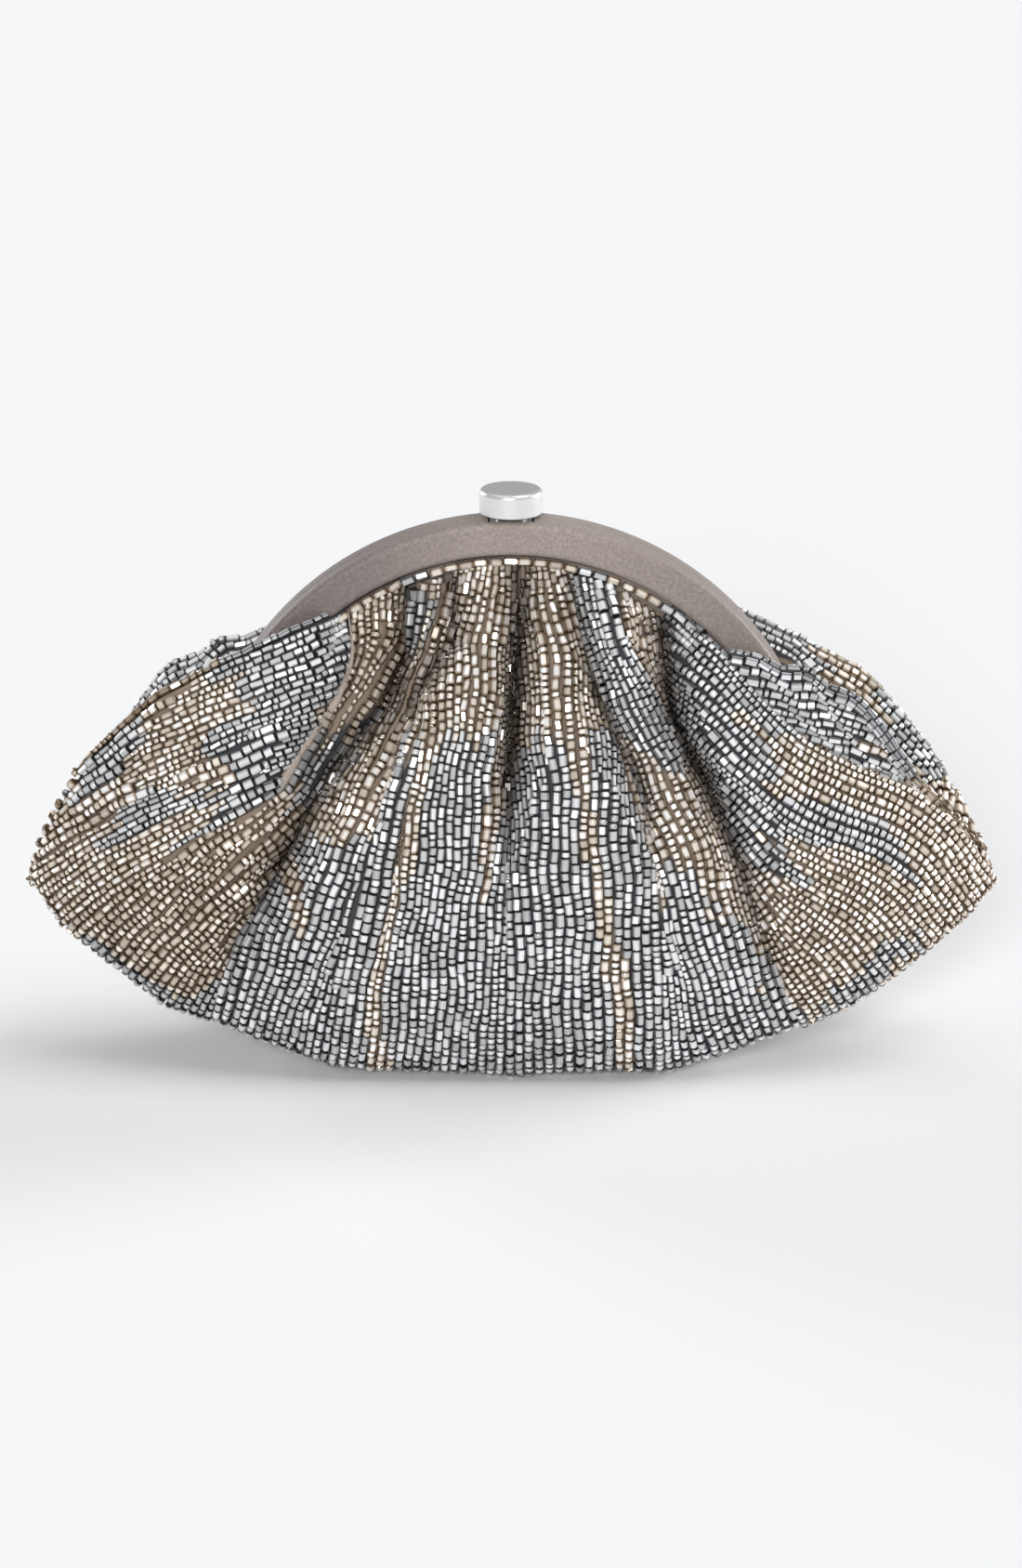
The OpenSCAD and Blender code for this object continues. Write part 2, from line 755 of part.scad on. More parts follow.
// How deep the stretch of a valley from a to b draws in at p
function stretch_at(a, b, p) =
    let (run = [b[0] - a[0], b[1] - a[1]],
         rel = p - [a[0], a[1]],
         k = min(1, max(0, rel * run / (run * run))),
         d = norm(rel - run * k))
    mix(a[2], b[2], k) * pow(max(0, 1 - d / pleat_half_w), pleat_power);

// How deep the valleys draw the cloth in at p; at the frame their floor meets the hem
function valley_at(p, w) = min(mix(pleat_d, rise_at(1), ease(valley_top_share, 1, w)),
    pleat_d * max([for (line = valley_lines) for (k = [0:len(line) - 2])
        stretch_at(line[k], line[k + 1], p)]));

// 0 along the side edges, 1 further in than this share of the half width
function side_at(s, share) =
    pow(1 - pow(max(0, 1 - (1 - abs(s)) / share), side_close_power), 1 / side_close_power);

// A point of the front panel's outer face
function panel_point(s, w) =
    let (p = panel_place(s, w),
         plain = depth_at(w, belly_at(p[0] / tip_x), hem_outer_h, upper_power),
         relief = rise_at(w) - valley_at(p, w),
         thinning = mix(side_close_shares[0], side_close_shares[1],
             ease(side_close_heights[0], side_close_heights[1], w)),
         d = max(seam_gap, (plain + relief) * side_at(s, thinning), ear_cover_at(s, w)))
    [p[0], -d, max(0, p[1] - base_sink * (1 - w))];

// The edge of the cloth beside the clasp stops under the lip
function edge_r(x, top_r, low_r) =
    mix(low_r, top_r, ease(clasp_clear_x, clasp_clear_x + clasp_ease_x, abs(x)));
function lip_point(s, r, h) =
    let (p = arch_point(r, frame_angle(s)))
    [p[0], -h, p[1]];

panel_columns = concat([for (k = [0:len(valley_shares) - 2]) for (share = lobe_shares)
    mix(valley_shares[k], valley_shares[k + 1], share)], [1]);
panel_rows = concat(
    [for (k = [0:belly_steps - 1]) belly_at_share * (1 - pow(cos(90 * k / belly_steps), 2 / belly_power))],
    [for (k = [0:upper_steps]) mix(belly_at_share, 1, k / upper_steps)]);

function panel_outer() = [for (s = panel_columns) concat(
    [for (w = panel_rows) panel_point(s, w)],
    [lip_point(s, lip_r, hem_outer_h),
     lip_point(s, edge_r(lip_point(s, lip_r, 0)[0], hem_top_r, lip_r + edge_step), hem_outer_h)])];

// Thickness of the cloth: beaded below, bare where it enters the frame, thin along the side seams
function panel_thickness(i, j) = j >= len(panel_rows) ? hem_t
    : mix(cloth_t, hem_t, max(ease(thin_from_height_share, 1, panel_rows[j]),
        ease(thin_from_side_share, 1, abs(panel_columns[i]))));

// Normal of a grid of points at column i and row j, leaning outwards at the side seams
function grid_normal(g, i, j) =
    let (i0 = max(0, i - 1), i1 = min(len(g) - 1, i + 1),
         j0 = max(0, j - 1), j1 = min(len(g[0]) - 1, j + 1),
         lean = i == 0 ? [-side_lean, 0, 0] : i == len(g) - 1 ? [side_lean, 0, 0] : [0, 0, 0])
    unit(unit(cross(g[i1][j] - g[i0][j], g[i][j1] - g[i][j0])) + lean);

// Closed sheet between an outer grid and an inner grid of the same size
module sheet(outer, inner) {
    ni = len(outer);
    nj = len(outer[0]);
    n = ni * nj;
    skin = [for (i = [0:ni - 2]) for (j = [0:nj - 2])
        let (a = i * nj + j, b = a + nj, c = b + 1, d = a + 1)
        for (face = [[a, c, b], [a, d, c], [n + a, n + b, n + c], [n + a, n + c, n + d]]) face];
    ends = [for (i = [0:ni - 2])
        let (a = i * nj, b = a + nj, c = a + nj - 1, d = b + nj - 1)
        for (face = [[a, b, n + b], [a, n + b, n + a], [c, n + d, d], [c, n + c, n + d]]) face];
    sides = [for (j = [0:nj - 2])
        let (a = j, b = j + 1, c = (ni - 1) * nj + j, d = c + 1)
        for (face = [[a, n + b, b], [a, n + a, n + b], [c, d, n + d], [c, n + d, n + c]]) face];
    polyhedron(points = concat(flat(outer), flat(inner)), faces = concat(skin, ends, sides));
}

// Inner face of the panel, kept off the plane of the seam
function panel_inner(g) = [for (i = [0:len(g) - 1]) [for (j = [0:len(g[0]) - 1])
    let (last = j >= len(panel_rows),
         p = last ? g[i][j] + [0, hem_t, 0] : g[i][j] - grid_normal(g, i, j) * panel_thickness(i, j))
    [p[0], min(-seam_gap, p[1]), p[2]]]];

module beaded_panel() {
    outer = panel_outer();
    sheet(outer, panel_inner(outer));
}

module front_panel() {
    color(bead_grey)
        beaded_panel();
}

module back_panel() {
    color(bead_grey)
        to_back()
            beaded_panel();
}

// A point of the lining's outer face: a plain bag that hangs clear inside the panels
function lining_point(s, w) =
    let (sx = seam_x(s) * lining_tip_share,
         a = [sx, seam_z(sx) + lining_lift],
         b = arch_point(lining_lip_r, lining_half_angle * s),
         p = mix(a, b, w),
         belly = belly_at(p[0] / tip_x) * side_at(s, lining_close_share) * lining_belly_share,
         d = depth_at(w, belly, lining_inner_h + lining_t, lining_upper_power))
    [p[0], -max(d, seam_gap + lining_t), p[1]];

function lining_top_point(s) =
    let (angle = lining_half_angle * s,
         x = lining_lip_r * sin(angle),
         p = arch_point(edge_r(x, hem_top_r, lining_lip_r + edge_step), angle))
    [p[0], -lining_inner_h - lining_t, p[1]];

lining_heights = concat(
    [for (k = [0:lining_belly_rows - 1])
        belly_at_share * (1 - pow(cos(90 * k / lining_belly_rows), 2 / belly_power))],
    [for (k = [0:lining_upper_rows]) mix(belly_at_share, 1, k / lining_upper_rows)]);

function lining_outer() = [for (i = [0:lining_columns])
    let (s = mix(-1, 1, i / lining_columns))
    concat([for (w = lining_heights) lining_point(s, w)], [lining_top_point(s)])];

function lining_inner(g) = [for (i = [0:len(g) - 1]) [for (j = [0:len(g[0]) - 1])
    let (last = j >= len(lining_heights) - 1,
         p = last ? g[i][j] + [0, lining_t, 0] : g[i][j] - grid_normal(g, i, j) * lining_t)
    [p[0], min(-seam_gap, p[1]), p[2]]]];

module lining() {
    outer = lining_outer();
    sheet(outer, lining_inner(outer));
}

module front_lining() {
    color(lining_taupe)
        lining();
}

module back_lining() {
    color(lining_taupe)
        to_back()
            lining();
}

// Height share of the lining's middle line at height z, and the s that gives about x there
function lining_share_at(z) =
    (z - lining_lift) / (arch_centre_z + lining_lip_r - lining_lift);
function lining_s_at(x, w) =
    let (seam_span = tip_x * (1 + seam_ease_share) * lining_tip_share,
         lip_span = lining_lip_r * lining_half_angle * PI / 180)
    x / mix(seam_span, lip_span, w);

// Sheet sewn on the inside of the back lining, open at its top
module slip_pocket() {
    stand_off = lining_t * slope_share + pocket_gap;
    grid = [for (i = [0:pocket_columns])
        let (x = mix(-pocket_w / 2, pocket_w / 2, i / pocket_columns))
        [for (j = [0:pocket_rows])
            let (w = lining_share_at(mix(pocket_z, pocket_z + pocket_h, j / pocket_rows)))
            lining_point(lining_s_at(x, w), w) + [0, stand_off, 0]]];
    inner_side = [for (column = grid) [for (p = column) p + [0, lining_t, 0]]];
    color(lining_taupe)
        to_back()
            sheet(grid, inner_side);
}

front_frame_core();
back_frame_core();
front_frame_cover();
back_frame_cover();
front_paper_cord();
back_paper_cord();
front_bead_trim();
back_bead_trim();
left_hinge_pin();
right_hinge_pin();
button_cap();
button_stem();
return_spring();
stem_collar();
release_fork();
latch_housing();
housing_rivets();
latch_spring();
striker();
striker_rivets();
front_panel();
back_panel();
front_lining();
back_lining();
slip_pocket();
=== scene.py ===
# %% [markdown]
# # A pleated, beaded evening pouch on an arched frame
#
# The steel, the satin cover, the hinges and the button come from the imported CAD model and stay
# as they are. This lesson adds what CAD leaves plain: the beaded cloth in its pleats, string by
# string, the strand of beads under the lip, the ribbon, the linings and the finishes. Everything
# is in metres, in the CAD model's own frame, with the front of the pouch towards -Y.

# %% Load the frame
import math

import bmesh
import bpy
import numpy as np
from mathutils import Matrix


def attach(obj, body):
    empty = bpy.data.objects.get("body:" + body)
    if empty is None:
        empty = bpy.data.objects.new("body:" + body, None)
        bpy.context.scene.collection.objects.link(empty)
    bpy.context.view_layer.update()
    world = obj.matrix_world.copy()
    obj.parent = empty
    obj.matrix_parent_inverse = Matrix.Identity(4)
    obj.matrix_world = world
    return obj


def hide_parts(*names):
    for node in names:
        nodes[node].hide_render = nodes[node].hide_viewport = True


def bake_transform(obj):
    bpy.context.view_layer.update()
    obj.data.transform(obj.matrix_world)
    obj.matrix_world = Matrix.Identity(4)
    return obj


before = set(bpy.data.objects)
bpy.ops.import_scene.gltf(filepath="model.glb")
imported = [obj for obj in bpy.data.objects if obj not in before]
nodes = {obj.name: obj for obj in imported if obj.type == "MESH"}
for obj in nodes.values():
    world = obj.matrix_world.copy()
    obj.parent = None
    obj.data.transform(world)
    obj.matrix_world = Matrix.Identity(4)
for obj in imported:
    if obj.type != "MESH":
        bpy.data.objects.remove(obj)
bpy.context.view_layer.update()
MM = 0.001
print("nodes loaded:", len(nodes))

# %% [markdown]
# ## Camera
# The picture is taken from straight in front and 18 degrees above, with a long lens. A camera
# can be matched by eye in the viewport. Here the cloth is built from places in the picture, so
# the lens, the distance and the angle are plain numbers, and two functions go from a place in
# the picture to a place on the pouch and back. That is why the camera comes first.

# %% Camera
IMAGE_W = 1100
IMAGE_H = 1687
LENS = 113.0
SENSOR = 36.0
DISTANCE = 1.3
ELEVATION = math.radians(18)
AIM = np.array([0.0, 0.0, 0.074])
FOCAL_PX = LENS / SENSOR * IMAGE_H
SIN_E = math.sin(ELEVATION)
COS_E = math.cos(ELEVATION)
EYE = AIM + DISTANCE * np.array([0.0, -COS_E, SIN_E])



def linked(name, data):
    """A new object for a mesh, a camera or a light, in the scene."""
    obj = bpy.data.objects.new(name, data)
    bpy.context.scene.collection.objects.link(obj)
    return obj


camera_data = bpy.data.cameras.new("camera")
camera_data.sensor_fit = "VERTICAL"
camera_data.sensor_height = SENSOR
camera_data.lens = LENS
camera_data.clip_start = 0.05
camera_data.clip_end = 50
camera = linked("camera", camera_data)
camera.location = EYE
camera.rotation_euler = (math.pi / 2 - ELEVATION, 0, 0)
bpy.context.scene.camera = camera


def on_ray(px, py, depth):
    """The points that show at px, py in the picture and lie depth metres in front of y = 0."""
    right = (np.asarray(px) - IMAGE_W / 2) / FOCAL_PX
    up = (IMAGE_H / 2 - np.asarray(py)) / FOCAL_PX
    along_y = COS_E + up * SIN_E
    t = (-depth - EYE[1]) / along_y
    return np.stack([t * right, EYE[1] + t * along_y, EYE[2] + t * (up * COS_E - SIN_E)], axis=-1)


def in_picture(points):
    """Where points show in the picture."""
    rel = points - EYE
    far = rel[..., 1] * COS_E - rel[..., 2] * SIN_E
    up = rel[..., 1] * SIN_E + rel[..., 2] * COS_E
    return IMAGE_W / 2 + rel[..., 0] / far * FOCAL_PX, IMAGE_H / 2 - up / far * FOCAL_PX


print("camera at", [round(float(v), 3) for v in EYE])

# %% [markdown]
# ## Helpers for curves and sheets
# Cloth in folds is easiest to describe by its borders, as curves through a few points. These
# functions blend, follow and measure such curves. A sheet of cloth could be drawn face by face,
# but Blender's own grid, with its points moved into place, keeps the faces in order.

# %% Blends and curves
def ease(a, b, v):
    """A smooth step from 0 at a to 1 at b."""
    k = np.clip((np.asarray(v) - a) / (b - a), 0, 1)
    return k * k * (3 - 2 * k)


def mix(a, b, k):
    return a + (b - a) * k


def chord_keys(points):
    """Keys from 0 to 1 by the length along the points."""
    steps = np.hypot(*np.diff(points, axis=0).T)
    keys = np.concatenate([[0], np.cumsum(steps)])
    return keys / keys[-1]


def spline(points, t):
    """A smooth curve through the points."""
    points = np.asarray(points, float)
    keys = chord_keys(points)
    slopes = np.gradient(points, keys, axis=0)
    t = np.clip(t, 0, 1)
    i = np.clip(np.searchsorted(keys, t, side="right") - 1, 0, len(keys) - 2)
    span = keys[i + 1] - keys[i]
    k = ((t - keys[i]) / span)[..., None]
    span = span[..., None]
    return (
        (2 * k**3 - 3 * k**2 + 1) * points[i]
        + (k**3 - 2 * k**2 + k) * span * slopes[i]
        + (3 * k**2 - 2 * k**3) * points[i + 1]
        + (k**3 - k**2) * span * slopes[i + 1]
    )


def line(keyed, t):
    """A line through (key, x, y) points, with straight runs."""
    keyed = np.asarray(keyed, float)
    return np.stack([np.interp(t, keyed[:, 0], keyed[:, c]) for c in (1, 2)], axis=-1)


def distance_to(points, px, py):
    """Distance in px to a line through the points, and the share along it of the nearest place."""
    points = np.asarray(points, float)
    keys = chord_keys(points)
    best = np.full(np.shape(px), 1e9)
    where = np.zeros(np.shape(px))
    for (x0, y0), (x1, y1), k0, k1 in zip(points[:-1], points[1:], keys[:-1], keys[1:]):
        dx, dy = x1 - x0, y1 - y0
        k = np.clip(((px - x0) * dx + (py - y0) * dy) / (dx * dx + dy * dy), 0, 1)
        d = np.hypot(px - x0 - k * dx, py - y0 - k * dy)
        near = d < best
        best = np.where(near, d, best)
        where = np.where(near, mix(k0, k1, k), where)
    return best, where


def unit(vectors):
    """The vectors at length 1."""
    return vectors / np.maximum(np.linalg.norm(vectors, axis=-1, keepdims=True), 1e-12)


print("a smooth step half way:", float(ease(0, 1, 0.5)))


# %% Sheets
def net(across, up, size):
    """Two grids of numbers, one running over each range, with size columns and rows."""
    return np.meshgrid(np.linspace(*across, size[0]), np.linspace(*up, size[1]))


def grid_object(name, grids, material):
    """One smooth object of grids of points, each stored row after row."""
    bm = bmesh.new()
    for points in grids:
        rows, columns = points.shape[:2]
        made = bmesh.ops.create_grid(bm, x_segments=columns - 1, y_segments=rows - 1, size=1)
        for vert, place in zip(made["verts"], points.reshape(-1, 3)):
            vert.co = place
    for face in bm.faces:
        face.smooth = True
    mesh = bpy.data.meshes.new(name)
    bm.to_mesh(mesh)
    bm.free()
    mesh.materials.append(material)
    return linked(name, mesh)


print("a net of 4 by 3:", net((0, 1), (0, 1), (4, 3))[0].shape)

# %% [markdown]
# ## How far the cloth stands out
# The cloth bulges towards its flat bottom, and at the frame it is gathered: the pleats are
# valleys between rounded lobes. It could be sculpted or simulated, but then the folds fall where
# they like. Here each valley is a line in the picture with a depth and a width, and one function
# adds them up, so each fold lies where the real one does.

# %% Edges in the picture
HALF_W = 127.0
ARCH_Z = 65.0
LIP_R = 70.9
# The lip's lower edge, where the strings go under the bead strand
LIP_GAP = 0.6
LIP_FRONT = 5.6
LIP_ANGLE = np.radians(np.linspace(-45, 45, 181))
LIP_LINE = MM * np.stack([
    (LIP_R + LIP_GAP) * np.sin(LIP_ANGLE),
    np.full(LIP_ANGLE.size, -LIP_FRONT),
    ARCH_Z + (LIP_R + LIP_GAP) * np.cos(LIP_ANGLE),
], axis=-1)
LIP_PX, LIP_PY = in_picture(LIP_LINE)


def lip(px):
    """The place of the lip's lower edge at px across the picture."""
    return px, float(np.interp(px, LIP_PX, LIP_PY))


TOP_EDGE = [
    (32, 940), (46, 905), (67, 863), (81, 839), (100, 814), (123, 793), (147, 771), (168, 753),
    (196, 738), (225, 722), (267, 703), (309, 684), (344, 668), (372, 655), lip(402), lip(437),
    lip(475), lip(515), lip(556), lip(584), lip(612), lip(637), lip(662), lip(687), lip(712),
    (740, 672), (770, 698), (816, 751),
    (854, 789), (917, 824), (980, 850), (1020, 880), (1060, 935), (1071, 950),
]
LOW_EDGE = [
    (32, 940), (67, 996), (123, 1040), (176, 1080), (225, 1095), (280, 1120), (350, 1143),
    (400, 1150), (540, 1155), (700, 1150), (790, 1130), (860, 1103), (911, 1082), (975, 1039),
    (1007, 1014), (1046, 982), (1071, 950),
]


def edge_at(edge, px):
    """How far down the picture an edge lies at px across it."""
    return np.interp(px, *np.array(edge, float).T)


print("the lip runs from px", round(LIP_PX[0]), "to", round(LIP_PX[-1]))

# %% Valleys
# Valleys: points of the line, depth in mm at each point, width in px that the valley draws in
VALLEYS = [
    ([(437, 635), (437, 700), (415, 760), (356, 832), (309, 919), (254, 1018), (225, 1095)],
     [9, 10, 10, 11, 12, 7, 0], 62),
    ([(488, 620), (490, 690), (455, 745), (430, 800), (405, 880)], [10, 11, 9, 5, 0], 46),
    ([(560, 610), (555, 750), (548, 850), (545, 950), (543, 1050)], [12, 16, 13, 5, 0], 56),
    ([(613, 625), (640, 740), (690, 850), (700, 900), (708, 1000)], [9, 11, 11, 6, 0], 48),
    ([(712, 660), (722, 770), (758, 839), (797, 927), (816, 992), (835, 1050), (860, 1100)],
     [10, 13, 13, 11, 8, 5, 1], 60),
    ([(375, 660), (379, 705), (365, 747), (344, 782), (316, 825), (302, 846), (196, 909)],
     [2, 5, 7, 7, 6, 4, 0], 44),
]
VALLEY_POWER = 2.4


def valley_at(px, py):
    """How many mm the pleats' valleys draw the cloth in at px, py."""
    drop = np.zeros(np.shape(px))
    for points, depths, width in VALLEYS:
        d, k = distance_to(points, px, py)
        valley = np.interp(k, chord_keys(np.array(points, float)), depths)
        drop = drop + valley * np.clip(1 - d / width, 0, 1) ** VALLEY_POWER
    return drop


print("valleys:", len(VALLEYS))

# %% Depth of the cloth
# Depths and places across are in mm, heights are shares of the way from the foot to the top
BELLY = 32.1
BELLY_POWER = 3.2
BELLY_ROUND = 0.6
BELLY_AT = 0.27
FOOT_SHARE = 0.38
FOOT_ROUND = 2.2
RISE_POWER = 1.5
LIP_DEPTH = 4.5
WING_DEPTH = 9.5
WING_X = (38, 62)
EDGE_SHARE = 0.8
PLEAT_LIFT = 3.0
PLEAT_LIFT_HEIGHT = (0.15, 0.6)
PLEAT_LIFT_X = (122, 90)
LIP_EASE = 9.0
LIP_EASE_X = (52, 44)
NEAR_LIP_DEPTH = 5
# The cloth comes no nearer to the middle than this, so that the lining fits inside
EDGE_ROOM = 0.5
INNER_ROOM = 3.2
INNER_X = (112, 92)


def belly_share(x):
    """How full the pouch is at x mm, from 1 in the middle to 0 at the tips."""
    return np.clip(1 - np.abs(x / HALF_W) ** BELLY_POWER, 0, 1) ** BELLY_ROUND


def least_depth(x):
    """The least depth in mm that the cloth keeps at x mm."""
    return EDGE_ROOM + INNER_ROOM * ease(*INNER_X, np.abs(x))


def depth_at(px, py):
    """Depth in mm of the cloth that shows at px, py."""
    x = (px - IMAGE_W / 2) * DISTANCE / FOCAL_PX / MM
    top = edge_at(TOP_EDGE, px)
    low = edge_at(LOW_EDGE, px)
    h = np.clip((low - py) / np.maximum(low - top, 1), 0, 1)
    belly = BELLY * belly_share(x)
    rim = mix(LIP_DEPTH, WING_DEPTH, ease(*WING_X, np.abs(x)))
    rim = np.minimum(rim, EDGE_SHARE * belly)
    low_share = np.clip(1 - h / BELLY_AT, 0, 1)
    bend = 1 - (1 - low_share**FOOT_ROUND) ** (1 / FOOT_ROUND)
    under = belly * (1 - FOOT_SHARE * bend)
    q = np.clip((h - BELLY_AT) / (1 - BELLY_AT), 0, 1)
    depth = np.where(h < BELLY_AT, under, mix(belly, rim, q**RISE_POWER))
    depth = depth + PLEAT_LIFT * ease(*PLEAT_LIFT_HEIGHT, h) * ease(*PLEAT_LIFT_X, np.abs(x))
    depth = depth - valley_at(px, py)
    place = on_ray(px, py, NEAR_LIP_DEPTH * MM) / MM
    r = np.hypot(place[..., 0], place[..., 2] - ARCH_Z)
    near_lip = (1 - ease(0, LIP_EASE, LIP_R - r)) * ease(*LIP_EASE_X, np.abs(x))
    near_lip = near_lip * (place[..., 2] > ARCH_Z)
    return mix(np.maximum(depth, least_depth(x)), LIP_DEPTH, near_lip)


print("depth in the middle of the belly:", round(float(depth_at(np.array(500), np.array(1000))), 1))

# %% [markdown]
# ## Lobes between the pleats
# A real pleat is one cloth folded over itself, with the strings of beads running down each
# lobe. One big surface would lose the strings' direction at the folds, so each lobe is a patch
# of its own with four borders, like a piece of a paper pattern, and the strings follow it.

# %% Borders of the lobes
# L and R run from the foot to the top, T and B from left to right. n is half the number of
# places for strings, shares are those of the three bead lengths, roll is the side that turns
# back to the seam, tone makes the beads paler or darker, and sunk draws the lobe in, in mm.
RIBBON = [(302, 846), (316, 825), (344, 782), (365, 747), (379, 705), (375, 658)]
CREASE_1 = [(225, 1095), (254, 1018), (309, 919), (356, 832), (415, 760), (437, 700), (437, 635)]
VALLEY_2 = [
    (350, 1143), (365, 1050), (385, 960), (405, 880), (430, 800), (455, 745), (490, 690),
    (488, 620),
]
VALLEY_3 = [(540, 1155), (543, 1050), (545, 950), (548, 850), (555, 750), (560, 610)]
VALLEY_4 = [(712, 1150), (708, 1000), (700, 900), (690, 850), (640, 740), (613, 612)]
VALLEY_5 = [
    (860, 1103), (835, 1050), (816, 992), (797, 927), (779, 883), (758, 839), (722, 790),
    (700, 740), (675, 690), (662, 632),
]
SEAM_A = [(67, 996), (105, 965), (196, 909), (302, 846)]

LOBES = {
    "A": dict(
        n=24, roll=-1, tone=0.02,
        L=[(81, 839), (100, 814), (123, 793), (147, 771), (168, 753), (196, 738), (225, 722),
           (267, 703), (309, 684), (344, 668), (372, 655)],
        R=SEAM_A,
        T=[(0, 372, 655), (0.22, 379, 700), (0.44, 365, 747), (0.62, 344, 782), (0.86, 316, 825),
           (1, 302, 846)],
        B=[(0, 81, 839), (0.2, 67, 863), (0.45, 46, 905), (0.66, 32, 940), (1, 67, 996)],
    ),
    "B": dict(
        n=19, shares=(0.5, 0.35, 0.15), tone=-0.38,
        L=SEAM_A + RIBBON[1:],
        R=[(225, 1095), (254, 1018), (309, 919)],
        T=[(0, 375, 656), (0.2, *lip(405)), (0.42, *lip(437)), (0.54, 437, 700),
           (0.68, 415, 760), (0.84, 356, 832), (1, 309, 919)],
        B=[(0, 67, 996), (0.35, 123, 1040), (0.7, 176, 1080), (1, 225, 1095)],
    ),
    "C": dict(
        n=14,
        L=CREASE_1,
        R=VALLEY_2[:6],
        T=[(0, *lip(437)), (0.25, *lip(456)), (0.5, *lip(475)), (0.62, 488, 650), (0.74, 490, 690),
           (1, 455, 745)],
        B=[(0, 225, 1095), (0.44, 280, 1120), (1, 350, 1143)],
    ),
    "D": dict(
        n=19, tone=0.1,
        L=VALLEY_2[:5],
        R=VALLEY_3[:5],
        T=[(0, 430, 800), (0.09, 455, 745), (0.18, 490, 690), (0.26, *lip(486)), (0.55, *lip(520)),
           (0.84, *lip(556)), (1, 555, 750)],
        B=[(0, 350, 1143), (0.26, 400, 1150), (1, 540, 1155)],
    ),
    "E": dict(
        n=16, tone=0.08,
        L=VALLEY_3[:4],
        R=VALLEY_4[:5],
        T=[(0, 548, 850), (0.12, 555, 750), (0.25, *lip(562)), (0.5, *lip(588)), (0.72, *lip(612)),
           (1, 640, 740)],
        B=[(0, 540, 1155), (1, 712, 1150)],
    ),
    "F": dict(
        n=15, tone=0.28,
        L=VALLEY_4[:3],
        R=VALLEY_5,
        T=[(0, 700, 900), (0.15, 690, 850), (0.36, 640, 740), (0.5, *lip(613)), (0.75, *lip(638)),
           (1, *lip(662))],
        B=[(0, 712, 1150), (0.5, 790, 1130), (1, 860, 1103)],
    ),
    "G": dict(
        n=6,
        L=VALLEY_5[6:],
        R=[(724, 792), (722, 735), (712, 662)],
        T=[(0, *lip(662)), (0.5, *lip(688)), (1, *lip(713))],
        B=[(0, 722, 790), (1, 724, 792)],
        sunk=3.0,
    ),
    "H": dict(
        n=30, roll=1, shares=(0.68, 0.26, 0.06), tone=0.05,
        L=[(860, 1103), (835, 1050), (816, 992), (812, 975)],
        R=[(1071, 950), (1060, 935), (1020, 880), (980, 850), (917, 824), (854, 789), (816, 751),
           (770, 698), (721, 653)],
        T=[(0, 812, 975), (0.17, 797, 927), (0.33, 779, 883), (0.49, 758, 839), (0.71, 722, 770),
           (0.93, 712, 665), (1, 721, 653)],
        B=[(0, 860, 1103), (0.2, 911, 1082), (0.47, 975, 1039), (0.62, 1007, 1014),
           (0.82, 1046, 982), (1, 1071, 950)],
    ),
    "I": dict(
        n=16, roll=1, tone=0.12,
        L=[(1050, 915), (1030, 890), (980, 850)],
        R=[(1020, 872), (1005, 856), (991, 842), (967, 810), (946, 782), (917, 751), (889, 740),
           (868, 723), (840, 721), (816, 709), (784, 703)],
        T=[(0, 980, 850), (0.25, 917, 824), (0.5, 854, 789), (0.75, 816, 751), (1, 784, 703)],
        B=[(0, 1050, 915), (1, 1020, 872)],
        sunk=2.5,
    ),
}
print("lobes:", ", ".join(LOBES))

# %% Places in a lobe
# Soft waves of the strings, in px: height, run down and across the picture, and start
WAVES = [(2.2, 24, 37, 0), (0.9, 11, -23, 1.3)]
WAVE_WAY = np.array([1, 0.4])
WAVE_EASE_U = 0.2
WAVE_EASE_W = 0.15


def wander(pixels, u, w):
    """Strings don't run quite straight: a soft wave, none at the borders of the lobe."""
    x, y = pixels[..., 0], pixels[..., 1]
    inside = ease(0, WAVE_EASE_U, u) * ease(1, 1 - WAVE_EASE_U, u)
    inside = inside * ease(0, WAVE_EASE_W, w) * ease(1, 1 - WAVE_EASE_W, w)
    wave = sum(high * np.sin(y / down + x / across + start) for high, down, across, start in WAVES)
    return pixels + (inside * wave)[..., None] * WAVE_WAY


def lobe_pixels(lobe, u, w):
    """Where u across and w up a lobe shows in the picture, blended from its four borders."""
    left, right = spline(lobe["L"], w), spline(lobe["R"], w)
    top, foot = line(lobe["T"], u), line(lobe["B"], u)
    corner = {(a, b): line(lobe["BT"[b]], float(a)) for a in (0, 1) for b in (0, 1)}
    flat_u, flat_w = u, w
    u, w = u[..., None], w[..., None]
    pixels = (
        (1 - u) * left + u * right + (1 - w) * foot + w * top
        - (1 - u) * (1 - w) * corner[0, 0] - u * (1 - w) * corner[1, 0]
        - (1 - u) * w * corner[0, 1] - u * w * corner[1, 1]
    )
    return wander(pixels, flat_u, flat_w)


half_way = lobe_pixels(LOBES["D"], *np.full((2, 1), 0.5))
print("the middle of lobe D shows at", half_way.round().tolist())

# %% Cloth that turns back at the outline
VIEW_WAY = np.array([0.0, COS_E, -SIN_E])
EAR_X = 71.0
EAR_Z = 89
TIP_Z = 44.8
TIP_ROOM = 2
BAND_FRONT = 7.3
BAND_EASE_X = (73, 83)
FOLD_DROP = 7.0
SEAM_RISE = 47
SEAM_POWER = 2.3
SEAM_DROP = 2.2
SEAM_Y = 0.4
LOW_X_SHARE = 0.985
OUTLINE_SHARE = 0.35
# How far down the picture the tips lie, and the px over which the low seam takes over
TIP_PY = (936, 946)
TIP_EASE = 18
# Where the turned cloth's curve bends: shares of its span and of the way to its end
FIRST_BEND = 0.42
SECOND_BEND = 0.5
SECOND_SHARE = 0.4


